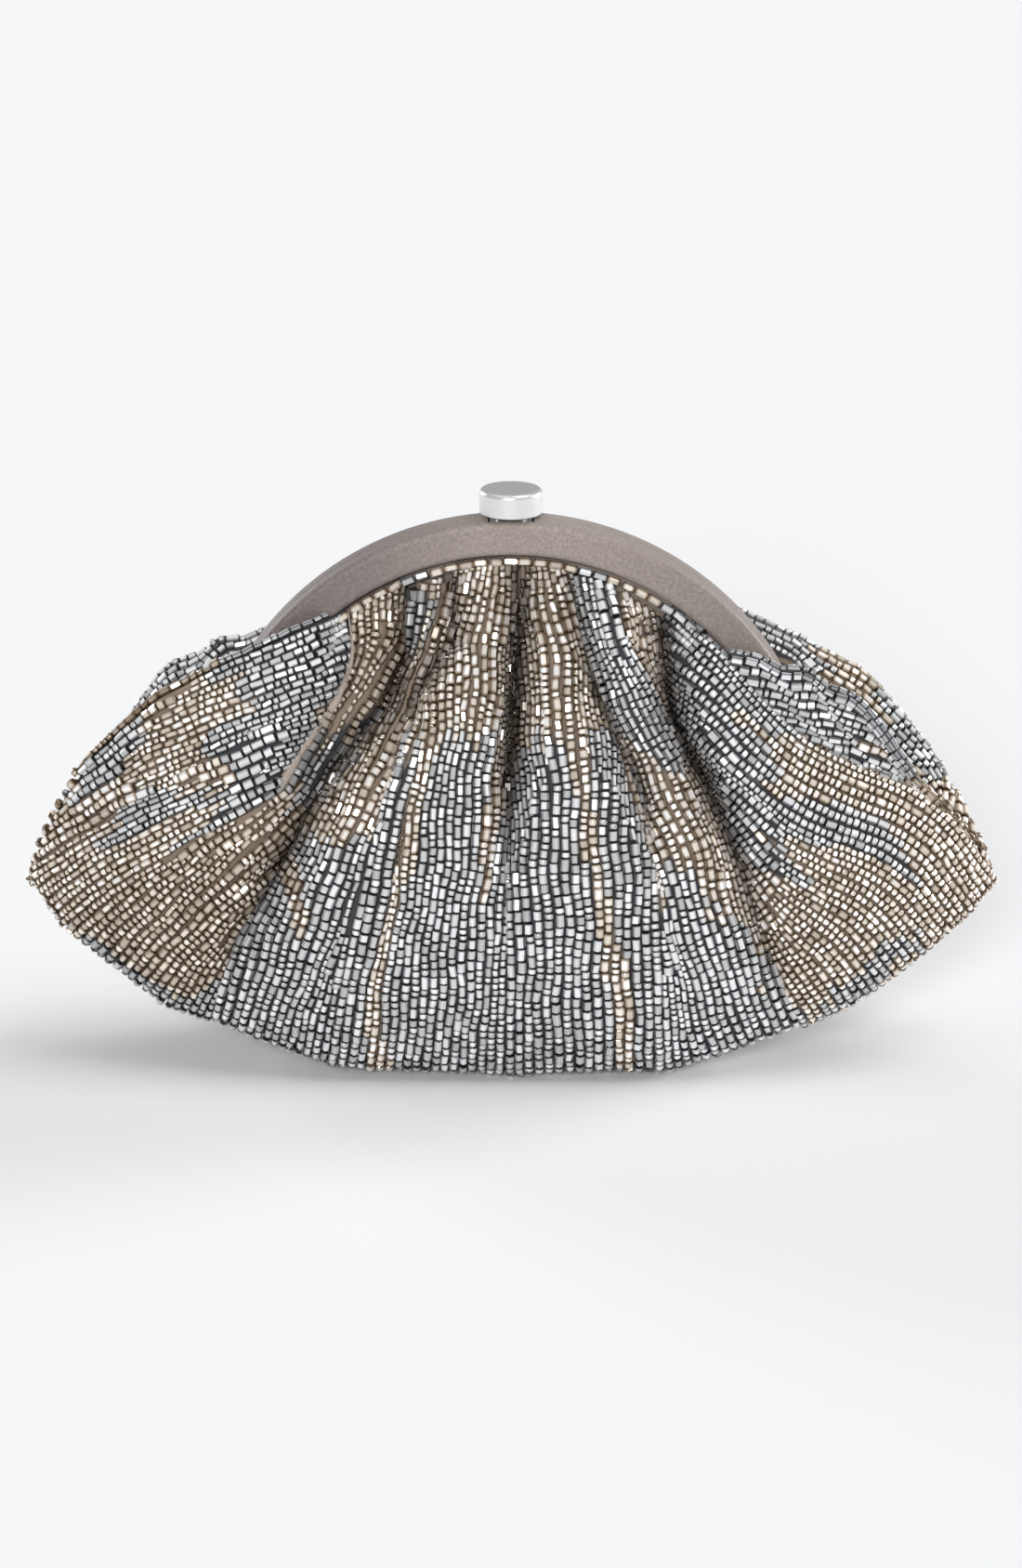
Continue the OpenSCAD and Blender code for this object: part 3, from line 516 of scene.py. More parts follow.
def seam_height(x):
    """Height in mm of the seam's line at x mm, from the flat bottom up to the tips."""
    return SEAM_RISE * (np.abs(x) / HALF_W) ** SEAM_POWER


def ear_share(x):
    """0 at the hinge's ear and 1 at the tip."""
    return np.clip((np.abs(x) - EAR_X) / (HALF_W - EAR_X), 0, 1)


def sewn_at(edge, py):
    """Where the cloth that turns back at the edge points ends: on the seam, or at the band."""
    x, z = edge[..., 0] / MM, edge[..., 2] / MM
    share = ear_share(x)
    seam_y = np.full_like(x, -SEAM_Y)
    low_x = x * LOW_X_SHARE
    low = np.stack([low_x, seam_y, np.maximum(seam_height(low_x) - SEAM_DROP, 0)], axis=-1)
    high_x = np.sign(x) * mix(EAR_X, HALF_W - TIP_ROOM, share)
    high = np.stack([high_x, seam_y, mix(mix(EAR_Z, TIP_Z, share), z, OUTLINE_SHARE)], axis=-1)
    band = np.stack([x, np.full_like(x, -BAND_FRONT), z - FOLD_DROP], axis=-1)
    high = mix(band, high, ease(*BAND_EASE_X, np.abs(x))[..., None])
    from_tip = py - np.where(x < 0, *TIP_PY)
    return mix(high, low, ease(-TIP_EASE, TIP_EASE, from_tip)[..., None]) * MM


def turned_back(edge, py, k):
    """The cloth beyond an edge of the picture's outline: k from 0 at the edge to 1 at its seam."""
    goal = sewn_at(edge, py)
    span = np.linalg.norm(goal - edge, axis=-1, keepdims=True)
    p1 = edge + VIEW_WAY * span * FIRST_BEND
    p2 = mix(goal, edge + VIEW_WAY * span * SECOND_BEND, SECOND_SHARE)
    k = k[..., None]
    return (1 - k) ** 3 * edge + 3 * k * (1 - k) ** 2 * p1 + 3 * k * k * (1 - k) * p2 + k**3 * goal


print("the seam rises to", round(float(seam_height(HALF_W)), 1), "mm at the tips")

# %% Surfaces of the lobes
FLOOR_GAP = 1.6 * MM
UNDER_GAP = 2.6 * MM
UNDER_EASE = 0.3
# The strings start a little inside the outline, as the beads stand out from the cloth
OUTLINE_INSET = 0.014
# How far the turned cloth reaches beyond a lobe, in shares of the lobe
UNDER = 0.25
SIDE = 0.2
ROW_STEPS = 56
ROW_POWER = 1.35
UNDER_STEPS = 10
# Half strings: each second one shows only where the cloth is wide
HALVES = 2
PER_STRING = 2
ROLL_STRINGS = 10
SUNK_ROUND = 0.5
SUNK_EDGE = 0.001


def lobe_points(lobe, u, w):
    """Points of the cloth. Below w = 0, and past a rolled side, it turns back to its seam."""
    uu, ww = np.clip(u, 0, 1), np.clip(w, 0, 1)
    pixels = lobe_pixels(lobe, uu, mix(OUTLINE_INSET, 1, ww))
    depth = depth_at(pixels[..., 0], pixels[..., 1])
    arch = np.sin(np.pi * np.clip(uu, SUNK_EDGE, 1 - SUNK_EDGE)) ** SUNK_ROUND
    least = least_depth(on_ray(*pixels.T, 0).T[0] / MM)
    depth = np.maximum(depth - lobe.get("sunk", 0) * arch, np.minimum(depth, least))
    points = on_ray(pixels[..., 0], pixels[..., 1], depth * MM)
    points[..., 2] = np.maximum(points[..., 2], FLOOR_GAP)
    past = np.maximum(-w / UNDER, np.maximum(-u, u - 1) / SIDE)
    back = turned_back(points, pixels[..., 1], np.clip(past, 0, 1))
    points = np.where((past > 0)[..., None], back, points)
    least_z = mix(FLOOR_GAP, UNDER_GAP, ease(0, UNDER_EASE, past))
    points[..., 2] = np.maximum(points[..., 2], least_z)
    return points


def lobe_surface(lobe):
    """Grid of cloth points with their normals, from the seam to the top."""
    u = np.linspace(0, 1, PER_STRING * HALVES * lobe["n"] + 1)
    if "roll" in lobe:
        past = np.linspace(0, SIDE, PER_STRING * HALVES * ROLL_STRINGS + 1)[1:]
        u = np.concatenate([-past[::-1], u] if lobe["roll"] < 0 else [u, 1 + past])
    w = np.concatenate([
        np.linspace(-UNDER, 0, UNDER_STEPS + 1)[:-1], np.linspace(0, 1, ROW_STEPS) ** ROW_POWER])
    uu, ww = np.meshgrid(u, w)
    points = lobe_points(lobe, uu, ww)
    normal = np.cross(np.gradient(points, axis=1), np.gradient(points, axis=0))
    return uu, ww, points, unit(normal)


surfaces = {name: lobe_surface(lobe) for name, lobe in LOBES.items()}
print("rows and columns:", {name: s[2].shape[:2] for name, s in surfaces.items()})

# %% [markdown]
# ## Pattern
# Such pouches carry a common streaked pattern in two colours: opaque grey beads and clear
# champagne ones. It could be a picture laid over the cloth, but real beads have one colour
# each. So every lobe has a ground colour with flames of the other laid on it, in picture px as
# (x, y, half width), and a bead takes the colour of its place. A jump from string to string
# leaves the edges ragged, as on the real cloth.

# %% Flames of the front
GREY, CHAMPAGNE = 0, 1
GROUND = dict(A=1, B=1, C=1, D=1, E=1, F=0, G=1, H=1, I=0)
# Below these heights in the picture a lobe turns grey
GREY_BELOW = dict(C=905, D=785, E=795)
FLAMES = {
    "A": [
        (GREY, [(372, 662, 30), (330, 710, 50), (285, 770, 42), (235, 800, 22), (205, 806, 6)]),
        (GREY, [(375, 655, 16), (300, 690, 20), (225, 724, 12)]),
        (GREY, [(158, 776, 6), (130, 803, 15), (98, 838, 13), (76, 862, 4)]),
        (GREY, [(108, 908, 5), (135, 890, 16), (180, 860, 17), (240, 850, 14), (330, 790, 20)]),
        (GREY, [(178, 936, 6), (205, 915, 15), (270, 870, 20), (340, 800, 22)]),
        (GREY, [(225, 944, 3), (262, 916, 8), (320, 850, 12)]),
        (CHAMPAGNE, [(283, 750, 4), (250, 762, 8), (215, 778, 14), (185, 800, 20), (160, 820, 16)]),
        (CHAMPAGNE, [(216, 736, 4), (190, 752, 9), (165, 780, 12)]),
        (CHAMPAGNE, [(246, 834, 6), (225, 836, 12), (190, 838, 16), (165, 835, 16)]),
        (CHAMPAGNE, [(245, 905, 5), (275, 890, 5)]),
    ],
    "B": [
        (GREY, [(405, 770, 3), (375, 800, 20), (345, 840, 26), (325, 870, 14), (312, 885, 4)]),
        (GREY, [(100, 1010, 4), (142, 1047, 9), (180, 1075, 13), (225, 1092, 16)]),
        (GREY, [(264, 1028, 3), (242, 1055, 9), (222, 1082, 16)]),
    ],
    "C": [
        (GREY, [(440, 632, 8), (452, 650, 16), (446, 680, 12), (437, 706, 6)]),
        (CHAMPAGNE, [(310, 925, 14), (318, 950, 10), (322, 985, 6), (325, 1010, 3)]),
    ],
    "D": [
        (CHAMPAGNE, [(470, 780, 12), (451, 838, 9), (441, 891, 8), (425, 984, 9), (415, 1024, 10),
                     (405, 1090, 11), (407, 1150, 11)]),
        (CHAMPAGNE, [(548, 790, 12), (532, 850, 11), (524, 920, 8), (521, 965, 4)]),
    ],
    "E": [
        (CHAMPAGNE, [(618, 780, 14), (628, 841, 9), (640, 908, 8), (655, 1000, 9), (670, 1080, 10),
                     (680, 1150, 10)]),
        (CHAMPAGNE, [(548, 790, 14), (545, 830, 8)]),
    ],
    "F": [
        (CHAMPAGNE, [(632, 745, 4), (665, 800, 14), (700, 850, 26), (745, 880, 50), (775, 935, 34),
                     (765, 960, 10)]),
        (CHAMPAGNE, [(700, 880, 14), (708, 930, 12), (712, 975, 5)]),
        (CHAMPAGNE, [(772, 940, 14), (790, 975, 9), (772, 990, 3)]),
        (CHAMPAGNE, [(800, 950, 9), (812, 1010, 7), (818, 1062, 4)]),
    ],
    "H": [
        (GREY, [(712, 655, 20), (760, 700, 45), (790, 735, 30), (850, 785, 12)]),
        (GREY, [(722, 740, 25), (770, 790, 40), (810, 820, 20), (835, 832, 4)]),
        (GREY, [(765, 825, 22), (792, 853, 30), (843, 880, 27), (898, 886, 24), (942, 903, 18),
                (981, 943, 4)]),
        (GREY, [(780, 880, 14), (815, 915, 14), (850, 938, 10), (874, 956, 4)]),
        (GREY, [(905, 1066, 12), (950, 1035, 12), (985, 1008, 8)]),
        (GREY, [(865, 1100, 12), (900, 1088, 8)]),
        (CHAMPAGNE, [(787, 765, 4), (830, 797, 10), (872, 823, 16), (930, 862, 13)]),
        (CHAMPAGNE, [(805, 834, 2), (840, 846, 6), (875, 850, 8)]),
        (CHAMPAGNE, [(850, 907, 3), (880, 925, 5), (905, 945, 8)]),
    ],
    "I": [
        (CHAMPAGNE, [(925, 800, 4), (945, 806, 4)]),
        (CHAMPAGNE, [(985, 850, 10), (1050, 905, 30)]),
    ],
}
# How much of a string's jump moves its colours across and down the picture
SHIFT_X = 0.4
SHIFT_Y = 0.5


def in_flame(flame, px, py):
    """Which places lie in a flame."""
    flame = np.array(flame, float)
    d, k = distance_to(flame[:, :2], px, py)
    return d < np.interp(k, chord_keys(flame[:, :2]), flame[:, 2])


def bead_colours(name, px, py, shift):
    """0 for grey and 1 for champagne at each bead of a string, shift px along it."""
    kind = np.full(px.shape, GROUND[name])
    if name in GREY_BELOW:
        kind = np.where(py + shift > GREY_BELOW[name], GREY, kind)
    for colour, flame in FLAMES.get(name, []):
        inside = in_flame(flame, px + SHIFT_X * shift, py + SHIFT_Y * shift)
        kind = np.where(inside, colour, kind)
    return kind


print("flames:", sum(len(flames) for flames in FLAMES.values()))

# %% Flames of the back
# What shows of the back panel over the front's wings, from the left
BACK_FLAMES = [
    (GREY, [(95, 807, 14), (150, 750, 16), (196, 716, 18), (277, 681, 20)]),
    (GREY, [(798, 649, 20), (840, 663, 20), (886, 705, 22)]),
    (CHAMPAGNE, [(886, 702, 9), (920, 725, 15), (950, 752, 13), (972, 780, 4)]),
    (GREY, [(950, 750, 8), (980, 790, 20), (1010, 840, 16)]),
    (CHAMPAGNE, [(985, 830, 4), (1020, 860, 14), (1050, 905, 18)]),
]
BACK_FROM_Z = 52 * MM
BACK_RAGGED = 4


def back_colours(kind, centre):
    """The kinds of the turned beads, with the flames that show over the front's wings."""
    px, py = in_picture(centre)
    shift = rng.normal(0, BACK_RAGGED, px.shape)
    for colour, flame in BACK_FLAMES:
        inside = in_flame(flame, px + shift, py) & (centre[:, 2] > BACK_FROM_Z)
        kind = np.where(inside, colour, kind)
    return kind


print("flames of the back:", len(BACK_FLAMES))

# %% [markdown]
# ## Beads
# Two kinds are mixed on the strings: round seed beads, and longer ones cut with flat sides.
# Spheres or an array along a curve would do for a necklace. With so many beads, each one
# may have only a few dozen faces, so an outline is spun once for each kind and then repeated,
# which also lets every bead turn and vary by itself.

# %% Bead prototypes
BEAD_RING = [(0, -0.42), (0.6, -0.5), (0.92, -0.36), (1, 0), (0.92, 0.36), (0.6, 0.5), (0, 0.42)]
CUT_RING = [(0, -0.47), (0.82, -0.5), (0.97, -0.43), (0.97, 0.43), (0.82, 0.5), (0, 0.47)]
BEAD_SIDES = 8
CUT_SIDES = 6
MERGE = 1e-5


def spun(ring, sides):
    """Vertices and triangles of a ring of points spun round the bead's axis."""
    bm = bmesh.new()
    edge_verts = [bm.verts.new((r, 0, z)) for r, z in ring]
    edges = [bm.edges.new(pair) for pair in zip(edge_verts[:-1], edge_verts[1:])]
    bmesh.ops.spin(
        bm, geom=edge_verts + edges, cent=(0, 0, 0), axis=(0, 0, 1), angle=2 * math.pi,
        steps=sides, use_merge=True,
    )
    bmesh.ops.remove_doubles(bm, verts=bm.verts, dist=MERGE)
    bmesh.ops.recalc_face_normals(bm, faces=bm.faces)
    bmesh.ops.triangulate(bm, faces=bm.faces)
    bm.verts.index_update()
    verts = np.array([v.co[:] for v in bm.verts])
    faces = np.array([[v.index for v in f.verts] for f in bm.faces])
    bm.free()
    return verts, faces


PROTOTYPES = [spun(BEAD_RING, BEAD_SIDES), spun(CUT_RING, CUT_SIDES)]
print("faces of a round and a cut bead:", [len(f) for _, f in PROTOTYPES])

# %% [markdown]
# ## Strings
# The beads are threaded and couched down in rows. A row could follow a fixed spacing, but the
# lobes narrow towards the frame, so the room between rows is measured on the cloth itself: where
# it gets too small, each second string ends, and the beads are as thick as the room allows.

# %% Room between strings
# Rows and strings over which the room is averaged, to choose the strings and the bead sizes
CHOICE_REACH = (3, 4)
SIZE_REACH = (1, 2)


def smoothed(values, reaches):
    """Values averaged over their neighbours, both ways."""
    for axis, reach in enumerate(reaches):
        pads = [(reach, reach) if a == axis else (0, 0) for a in (0, 1)]
        wide = np.pad(values, pads, "edge")
        steps = [range(k, k + values.shape[axis]) for k in range(2 * reach + 1)]
        values = np.mean([np.take(wide, step, axis) for step in steps], axis=0)
    return values


def room_of(uu, points):
    """Room for each string, square to its run: once much smoothed and once little."""
    run = unit(np.gradient(points, axis=0))
    room = []
    for c in range(1, points.shape[1], PER_STRING):
        left, right = max(c - PER_STRING, 0), min(c + PER_STRING, points.shape[1] - 1)
        across = points[:, right] - points[:, left]
        across -= run[:, c] * np.sum(across * run[:, c], axis=-1, keepdims=True)
        room.append(np.linalg.norm(across, axis=-1) / (right - left) * PER_STRING)
    wide, near = np.array(room), np.array(room)
    rolled = (uu[0, 1::PER_STRING] < 0) | (uu[0, 1::PER_STRING] > 1)
    for group in (rolled, ~rolled):
        if group.any():
            near[group] = smoothed(wide[group], SIZE_REACH)
            wide[group] = smoothed(wide[group], CHOICE_REACH)
    return wide, near


print("room measured over", PER_STRING, "columns to each side")

# %% Beads of a string
LENGTHS = np.array([1.65, 2.3, 3.3]) * MM
LENGTH_SHARES = (0.36, 0.36, 0.28)
LENGTH_RANGE = (0.88, 1.1)
# How much each string's shares of the lengths vary
SHARE_RANGE = (0.3, 1.7)
SHORTEST = 1.5 * MM
SHORTEST_STRING = 2 * MM
SPACING = 0.18 * MM
GAP_SHARE = 0.5
RADIUS_RANGE = (0.7 * MM, 1.45 * MM)
RADIUS_VARY = (0.92, 1.04)
MIN_PITCH = 1.42 * MM
LEAST_ROOM = 1e-6
MOST_HALVINGS = 4
SWAY = 0.1 * MM
SWAY_STEP = 9 * MM
RAGGED = 9
# Valley depth in mm at which the beads are fully in the shade of the fold
CREASE_FULL = 10.2
rng = np.random.default_rng(11)


def picked(values, s, t):
    """The rows of values, given at the lengths s, at the lengths t."""
    return np.stack([np.interp(t, s, values[:, c]) for c in range(values.shape[1])], axis=-1)


def threaded(length, shares):
    """Middles and lengths of the beads that fill a string of this length."""
    shares = np.array(shares) * rng.uniform(*SHARE_RANGE, len(LENGTHS))
    lengths = rng.choice(LENGTHS, p=shares / shares.sum(), size=int(length / SHORTEST) + 2)
    lengths = lengths * rng.uniform(*LENGTH_RANGE, lengths.size)
    ends = np.cumsum(lengths + SPACING)
    keep = ends < length
    return (ends - lengths / 2)[keep], lengths[keep]


def fill_string(points, normals, pixels, name, wide, near, string):
    """Beads along one string: centre, axis, normal, length, radius, kind, crease and tone."""
    s = np.concatenate([[0], np.cumsum(np.linalg.norm(np.diff(points, axis=0), axis=1))])
    if s[-1] < SHORTEST_STRING:
        return None
    at, lengths = threaded(s[-1], LOBES[name].get("shares", LENGTH_SHARES))
    crowding = MIN_PITCH / np.maximum(np.interp(at, s, wide), LEAST_ROOM)
    every = 2 ** np.clip(np.ceil(np.log2(crowding)), 0, MOST_HALVINGS).astype(int)
    keep = (string + 1) % every == 0
    at, lengths, gap = at[keep], lengths[keep], (np.interp(at, s, near) * every)[keep]
    centre = picked(points, s, at)
    axis = unit(picked(points, s, at + lengths / 2) - picked(points, s, at - lengths / 2))
    normal = picked(normals, s, at)
    normal = unit(normal - axis * np.sum(axis * normal, axis=-1, keepdims=True))
    radius = np.clip(gap * GAP_SHARE, *RADIUS_RANGE) * rng.uniform(*RADIUS_VARY, at.size)
    knots = np.arange(0, s[-1] + SWAY_STEP, SWAY_STEP)
    sways = rng.normal(0, SWAY, int(s[-1] / SWAY_STEP) + 2)[: knots.size]
    centre = centre + np.cross(axis, normal) * np.interp(at, knots, sways)[:, None]
    px, py = picked(pixels, s, at).T
    kind = bead_colours(name, px, py, rng.normal(0, RAGGED))
    crease = np.clip(valley_at(px, py) / CREASE_FULL, 0, 1)
    tone = np.clip(rng.uniform(0, 1, at.size) + LOBES[name].get("tone", 0), 0, 1)
    return dict(
        centre=centre, axis=axis, normal=normal, length=lengths, radius=radius, kind=kind,
        crease=crease, tone=tone)


print("bead lengths in mm:", (LENGTHS / MM).tolist())

# %% Beads of the front
HINGE_Z = 88.5
# How near to the middle, in mm, the lining leaves room for beads, over x in mm
LINING_SIDE_X = [43, 46]
LINING_SIDE = [2, 4.3]


def chosen(beads, mask):
    return {k: v[mask] for k, v in beads.items()}


def lobe_beads(name):
    """All beads of a lobe."""
    uu, ww, points, normal = surfaces[name]
    wide, near = room_of(uu, points)
    parts = []
    for string, c in enumerate(range(1, points.shape[1], PER_STRING)):
        pixels = np.stack(in_picture(points[:, c]), axis=-1)
        pixels[ww[:, c] < 0] = pixels[np.argmin(np.abs(ww[:, c]))]
        part = fill_string(
            points[::-1, c], normal[::-1, c], pixels[::-1], name,
            wide[string, ::-1], near[string, ::-1], string)
        if part is not None and part["length"].size:
            parts.append(part)
    return {k: np.concatenate([part[k] for part in parts]) for k in parts[0]}


def clear_of_lining(beads):
    """Without the few beads at the hinges and the lip that would lie inside the lining."""
    x, y, z = beads["centre"].T / MM
    side = np.interp(np.abs(x), LINING_SIDE_X, LINING_SIDE)
    inside = (np.abs(y) < side) & (z > HINGE_Z) & (np.hypot(x, z - ARCH_Z) < LIP_R + 1)
    return chosen(beads, ~inside)


lobes_of_beads = [lobe_beads(name) for name in LOBES]
front_beads = clear_of_lining(
    {k: np.concatenate([beads[k] for beads in lobes_of_beads]) for k in lobes_of_beads[0]})
print("beads on the front:", len(front_beads["length"]))

# %% Bead meshes
CUT_FROM = 2.05 * MM
ROLL = 0.5
TILT = 0.06
ASIDE = 0.09 * MM
SEAT_SHARE = 0.9


def bead_corners(beads, proto):
    """Corners of a prototype laid at each bead, and the same for the shader's attributes."""
    count = len(beads["length"])
    axis, normal = beads["axis"], beads["normal"]
    side = np.cross(axis, normal)
    roll = rng.uniform(-ROLL, ROLL, count)[:, None]
    a = normal * np.cos(roll) + side * np.sin(roll)
    b = side * np.cos(roll) - normal * np.sin(roll)
    r = beads["radius"][:, None, None]
    length = beads["length"][:, None, None]
    axis = axis + rng.normal(0, TILT, (count, 3))
    corners = (
        beads["centre"][:, None, :]
        + normal[:, None, :] * (r * SEAT_SHARE)
        + side[:, None, :] * rng.normal(0, ASIDE, (count, 1, 1))
        + proto[None, :, 0:1] * r * a[:, None, :]
        + proto[None, :, 1:2] * r * b[:, None, :]
        + proto[None, :, 2:3] * length * axis[:, None, :]
    )
    # How high on the bead each corner lies: the material paints a lit top with a highlight and
    # shaded sides from it
    up = proto[None, :, 0] * np.cos(roll) - proto[None, :, 1] * np.sin(roll)
    return corners.reshape(-1, 3), dict(
        along=np.tile(proto[:, 2], count), lift=(0.5 + 0.5 * up).ravel(),
        tone=np.repeat(beads["tone"], len(proto)), crease=np.repeat(beads["crease"], len(proto)))


def bead_mesh(name, beads, material):
    """One object that holds many beads: round ones shaded smooth and cut ones flat."""
    cut = beads["length"] > CUT_FROM
    verts, faces, smooth, labels = [], [], [], []
    start = 0
    for which, is_smooth, (proto, tris) in zip((~cut, cut), (True, False), PROTOTYPES):
        count = int(which.sum())
        if not count:
            continue
        corners, values = bead_corners(chosen(beads, which), proto)
        first = start + np.arange(count)[:, None, None] * len(proto)
        verts.append(corners)
        faces.append((tris[None] + first).reshape(-1, 3))
        smooth.append(np.full(count * len(tris), is_smooth))
        labels.append(values)
        start += count * len(proto)
    verts, faces = np.concatenate(verts), np.concatenate(faces)
    mesh = bpy.data.meshes.new(name)
    mesh.vertices.add(len(verts))
    mesh.vertices.foreach_set("co", verts.ravel())
    mesh.loops.add(faces.size)
    mesh.loops.foreach_set("vertex_index", faces.ravel().astype(np.int32))
    mesh.polygons.add(len(faces))
    mesh.polygons.foreach_set("loop_start", np.arange(0, faces.size, 3, dtype=np.int32))
    mesh.polygons.foreach_set("use_smooth", np.concatenate(smooth))
    mesh.update(calc_edges=True)
    for label in labels[0]:
        layer = mesh.attributes.new(label, "FLOAT", "POINT")
        values = np.concatenate([part[label] for part in labels])
        layer.data.foreach_set("value", values.astype(np.float32))
    mesh.materials.append(material)
    obj = linked(name, mesh)
    return obj


print("cut beads are longer than", CUT_FROM / MM, "mm")

# %% [markdown]
# ## Materials
# Glass beads mirror and bend light, and a true glass shader would need many samples for each
# bead. Most of what the eye sees is simpler: a lit top with a highlight, a shaded rim, and dark
# ends where the thread goes in and shade falls between the beads. So each bead mesh carries four
# values for every corner, how far along the bead it lies, how high on it, the bead's own tone and
# how deep in a fold it sits, and ramps turn them into colour under a clear coat, with this light,
# highlight and shade painted in.

# %% Shader helpers
def shader(name, colour, **values):
    """A material with one principled shader and its sockets set."""
    material = bpy.data.materials.new(name)
    material.use_nodes = True
    principled = material.node_tree.nodes["Principled BSDF"]
    principled.inputs["Base Color"].default_value = (*colour, 1)
    for key, value in values.items():
        principled.inputs[key.replace("_", " ")].default_value = value
    return material


def link(material, a, b):
    material.node_tree.links.new(a, b)


def to_shader(material, source, socket="Base Color"):
    link(material, source, material.node_tree.nodes["Principled BSDF"].inputs[socket])


def ramp(material, source, stops):
    """The colour of a ramp with these stops."""
    node = material.node_tree.nodes.new("ShaderNodeValToRGB")
    while len(node.color_ramp.elements) < len(stops):
        node.color_ramp.elements.new(0.5)
    for element, (place, colour) in zip(node.color_ramp.elements, stops):
        element.position = place
        element.color = (*colour, 1)
    link(material, source, node.inputs[0])
    return node.outputs[0]


def attribute(material, name):
    node = material.node_tree.nodes.new("ShaderNodeAttribute")
    node.attribute_name = name
    return node.outputs["Fac"]


def math_node(material, operation, source, *numbers):
    """A sum on a socket and up to two plain numbers."""
    node = material.node_tree.nodes.new("ShaderNodeMath")
    node.operation = operation
    link(material, source, node.inputs[0])
    for socket, number in zip(node.inputs[1:], numbers):
        socket.default_value = number
    return node.outputs[0]


def multiplied(material, a, b):
    node = material.node_tree.nodes.new("ShaderNodeMix")
    node.data_type = "RGBA"
    node.blend_type = "MULTIPLY"
    node.inputs[0].default_value = 1
    link(material, a, node.inputs[6])
    link(material, b, node.inputs[7])
    return node.outputs[2]


def coordinates(material):
    return material.node_tree.nodes.new("ShaderNodeTexCoord").outputs["Object"]


def noise(material, scale, detail):
    """Noise on object coordinates."""
    node = material.node_tree.nodes.new("ShaderNodeTexNoise")
    node.inputs["Scale"].default_value = scale
    node.inputs["Detail"].default_value = detail
    link(material, coordinates(material), node.inputs["Vector"])
    return node.outputs[0]


print("materials so far:", len(bpy.data.materials))

# %% Bead finishes
# Little light reaches the beads down in the folds
FOLD_STOPS = [
    (0.15, (1, 1, 1)), (0.5, (0.62, 0.6, 0.58)), (0.85, (0.16, 0.14, 0.13)),
    (1, (0.08, 0.07, 0.06)),
]


def bead_material(name, tones, end_stops, painted_light_stops, **values):
    """Beads whose colour varies from bead to bead, with painted light and a painted highlight
    over their top, darker towards their ends, and painted shade in the folds.
    """
    material = shader(name, (0.5, 0.5, 0.5), **values)
    ends = math_node(material, "ABSOLUTE", attribute(material, "along"))
    colour = ramp(material, attribute(material, "tone"), tones)
    # Ramps that darken and lighten the colour: thread holes and painted shade at the ends, painted
    # light over the top, painted shade in the folds
    for source, stops in (
        (ends, end_stops), (attribute(material, "lift"), painted_light_stops),
        (attribute(material, "crease"), FOLD_STOPS),
    ):
        colour = multiplied(material, colour, ramp(material, source, stops))
    to_shader(material, colour)
    return material


grey_beads = bead_material(
    "grey_beads",
    [(0, (0.44, 0.442, 0.442)), (0.5, (0.60, 0.602, 0.60)), (1, (0.88, 0.88, 0.88))],
    # Dark ends: the thread hole, with painted shade where the beads meet
    [(0, (1, 1, 1)), (0.37, (1, 1, 1)), (0.45, (0.2, 0.2, 0.21)), (0.5, (0.04, 0.04, 0.05))],
    # Painted light on the grey beads: a dark underside, shaded sides, a lit top and a white painted
    # highlight
    [(0.1, (0.04, 0.04, 0.05)), (0.35, (0.55, 0.56, 0.57)), (0.5, (0.65, 0.66, 0.67)),
     (0.6, (0.16, 0.16, 0.18)), (0.7, (0.24, 0.25, 0.27)), (0.84, (0.78, 0.79, 0.8)),
     (0.96, (1, 1, 1))],
    Metallic=0.25, Roughness=0.3,
)
champagne_beads = bead_material(
    "champagne_beads",
    [(0, (0.5, 0.44, 0.37)), (0.3, (0.7, 0.64, 0.56)), (0.6, (0.9, 0.86, 0.8)), (1, (1, 1, 1))],
    # Brown ends: the thread hole, with painted shade where the beads meet
    [(0, (1, 1, 1)), (0.27, (1, 1, 1)), (0.38, (0.5, 0.42, 0.34)), (0.5, (0.3, 0.24, 0.18))],
    # Painted light on the champagne beads: shaded brown sides and a white painted highlight on top,
    # for the reflection of their silver lining
    [(0.1, (0.16, 0.12, 0.09)), (0.35, (0.5, 0.43, 0.35)), (0.5, (0.56, 0.49, 0.41)),
     (0.6, (0.28, 0.22, 0.17)), (0.73, (0.4, 0.33, 0.27)), (0.83, (0.82, 0.77, 0.71)),
     (0.9, (1, 1, 1))],
    Metallic=0.3, Roughness=0.2, Coat_Weight=0.7, Coat_Roughness=0.08,
)
# The cloth shows dark grey between the opaque beads; between the clear ones, the light that comes
# through them is painted on it as a warm brown
BETWEEN = [(0, (0.05, 0.05, 0.055)), (1, (0.24, 0.185, 0.14))]
ground_cloth = shader("ground_cloth", (0.05, 0.042, 0.036), Roughness=0.9)
to_shader(ground_cloth, ramp(ground_cloth, attribute(ground_cloth, "painted_light_through_beads"), BETWEEN))
print("bead finishes:", grey_beads.name, champagne_beads.name)

# %% [markdown]
# ### Satin and metal
# The frame is covered in taupe satin. The light on it, bright on the top of the arch and shaded
# towards its ends, most of all at the left, is painted into its colour. A woven texture could be
# laid on by UV, but the CAD solids have none. Object coordinates need no unwrapping, so they carry
# the painted light, a fine grain and a small bump. The button is brushed nickel, and the works are
# plain steel.

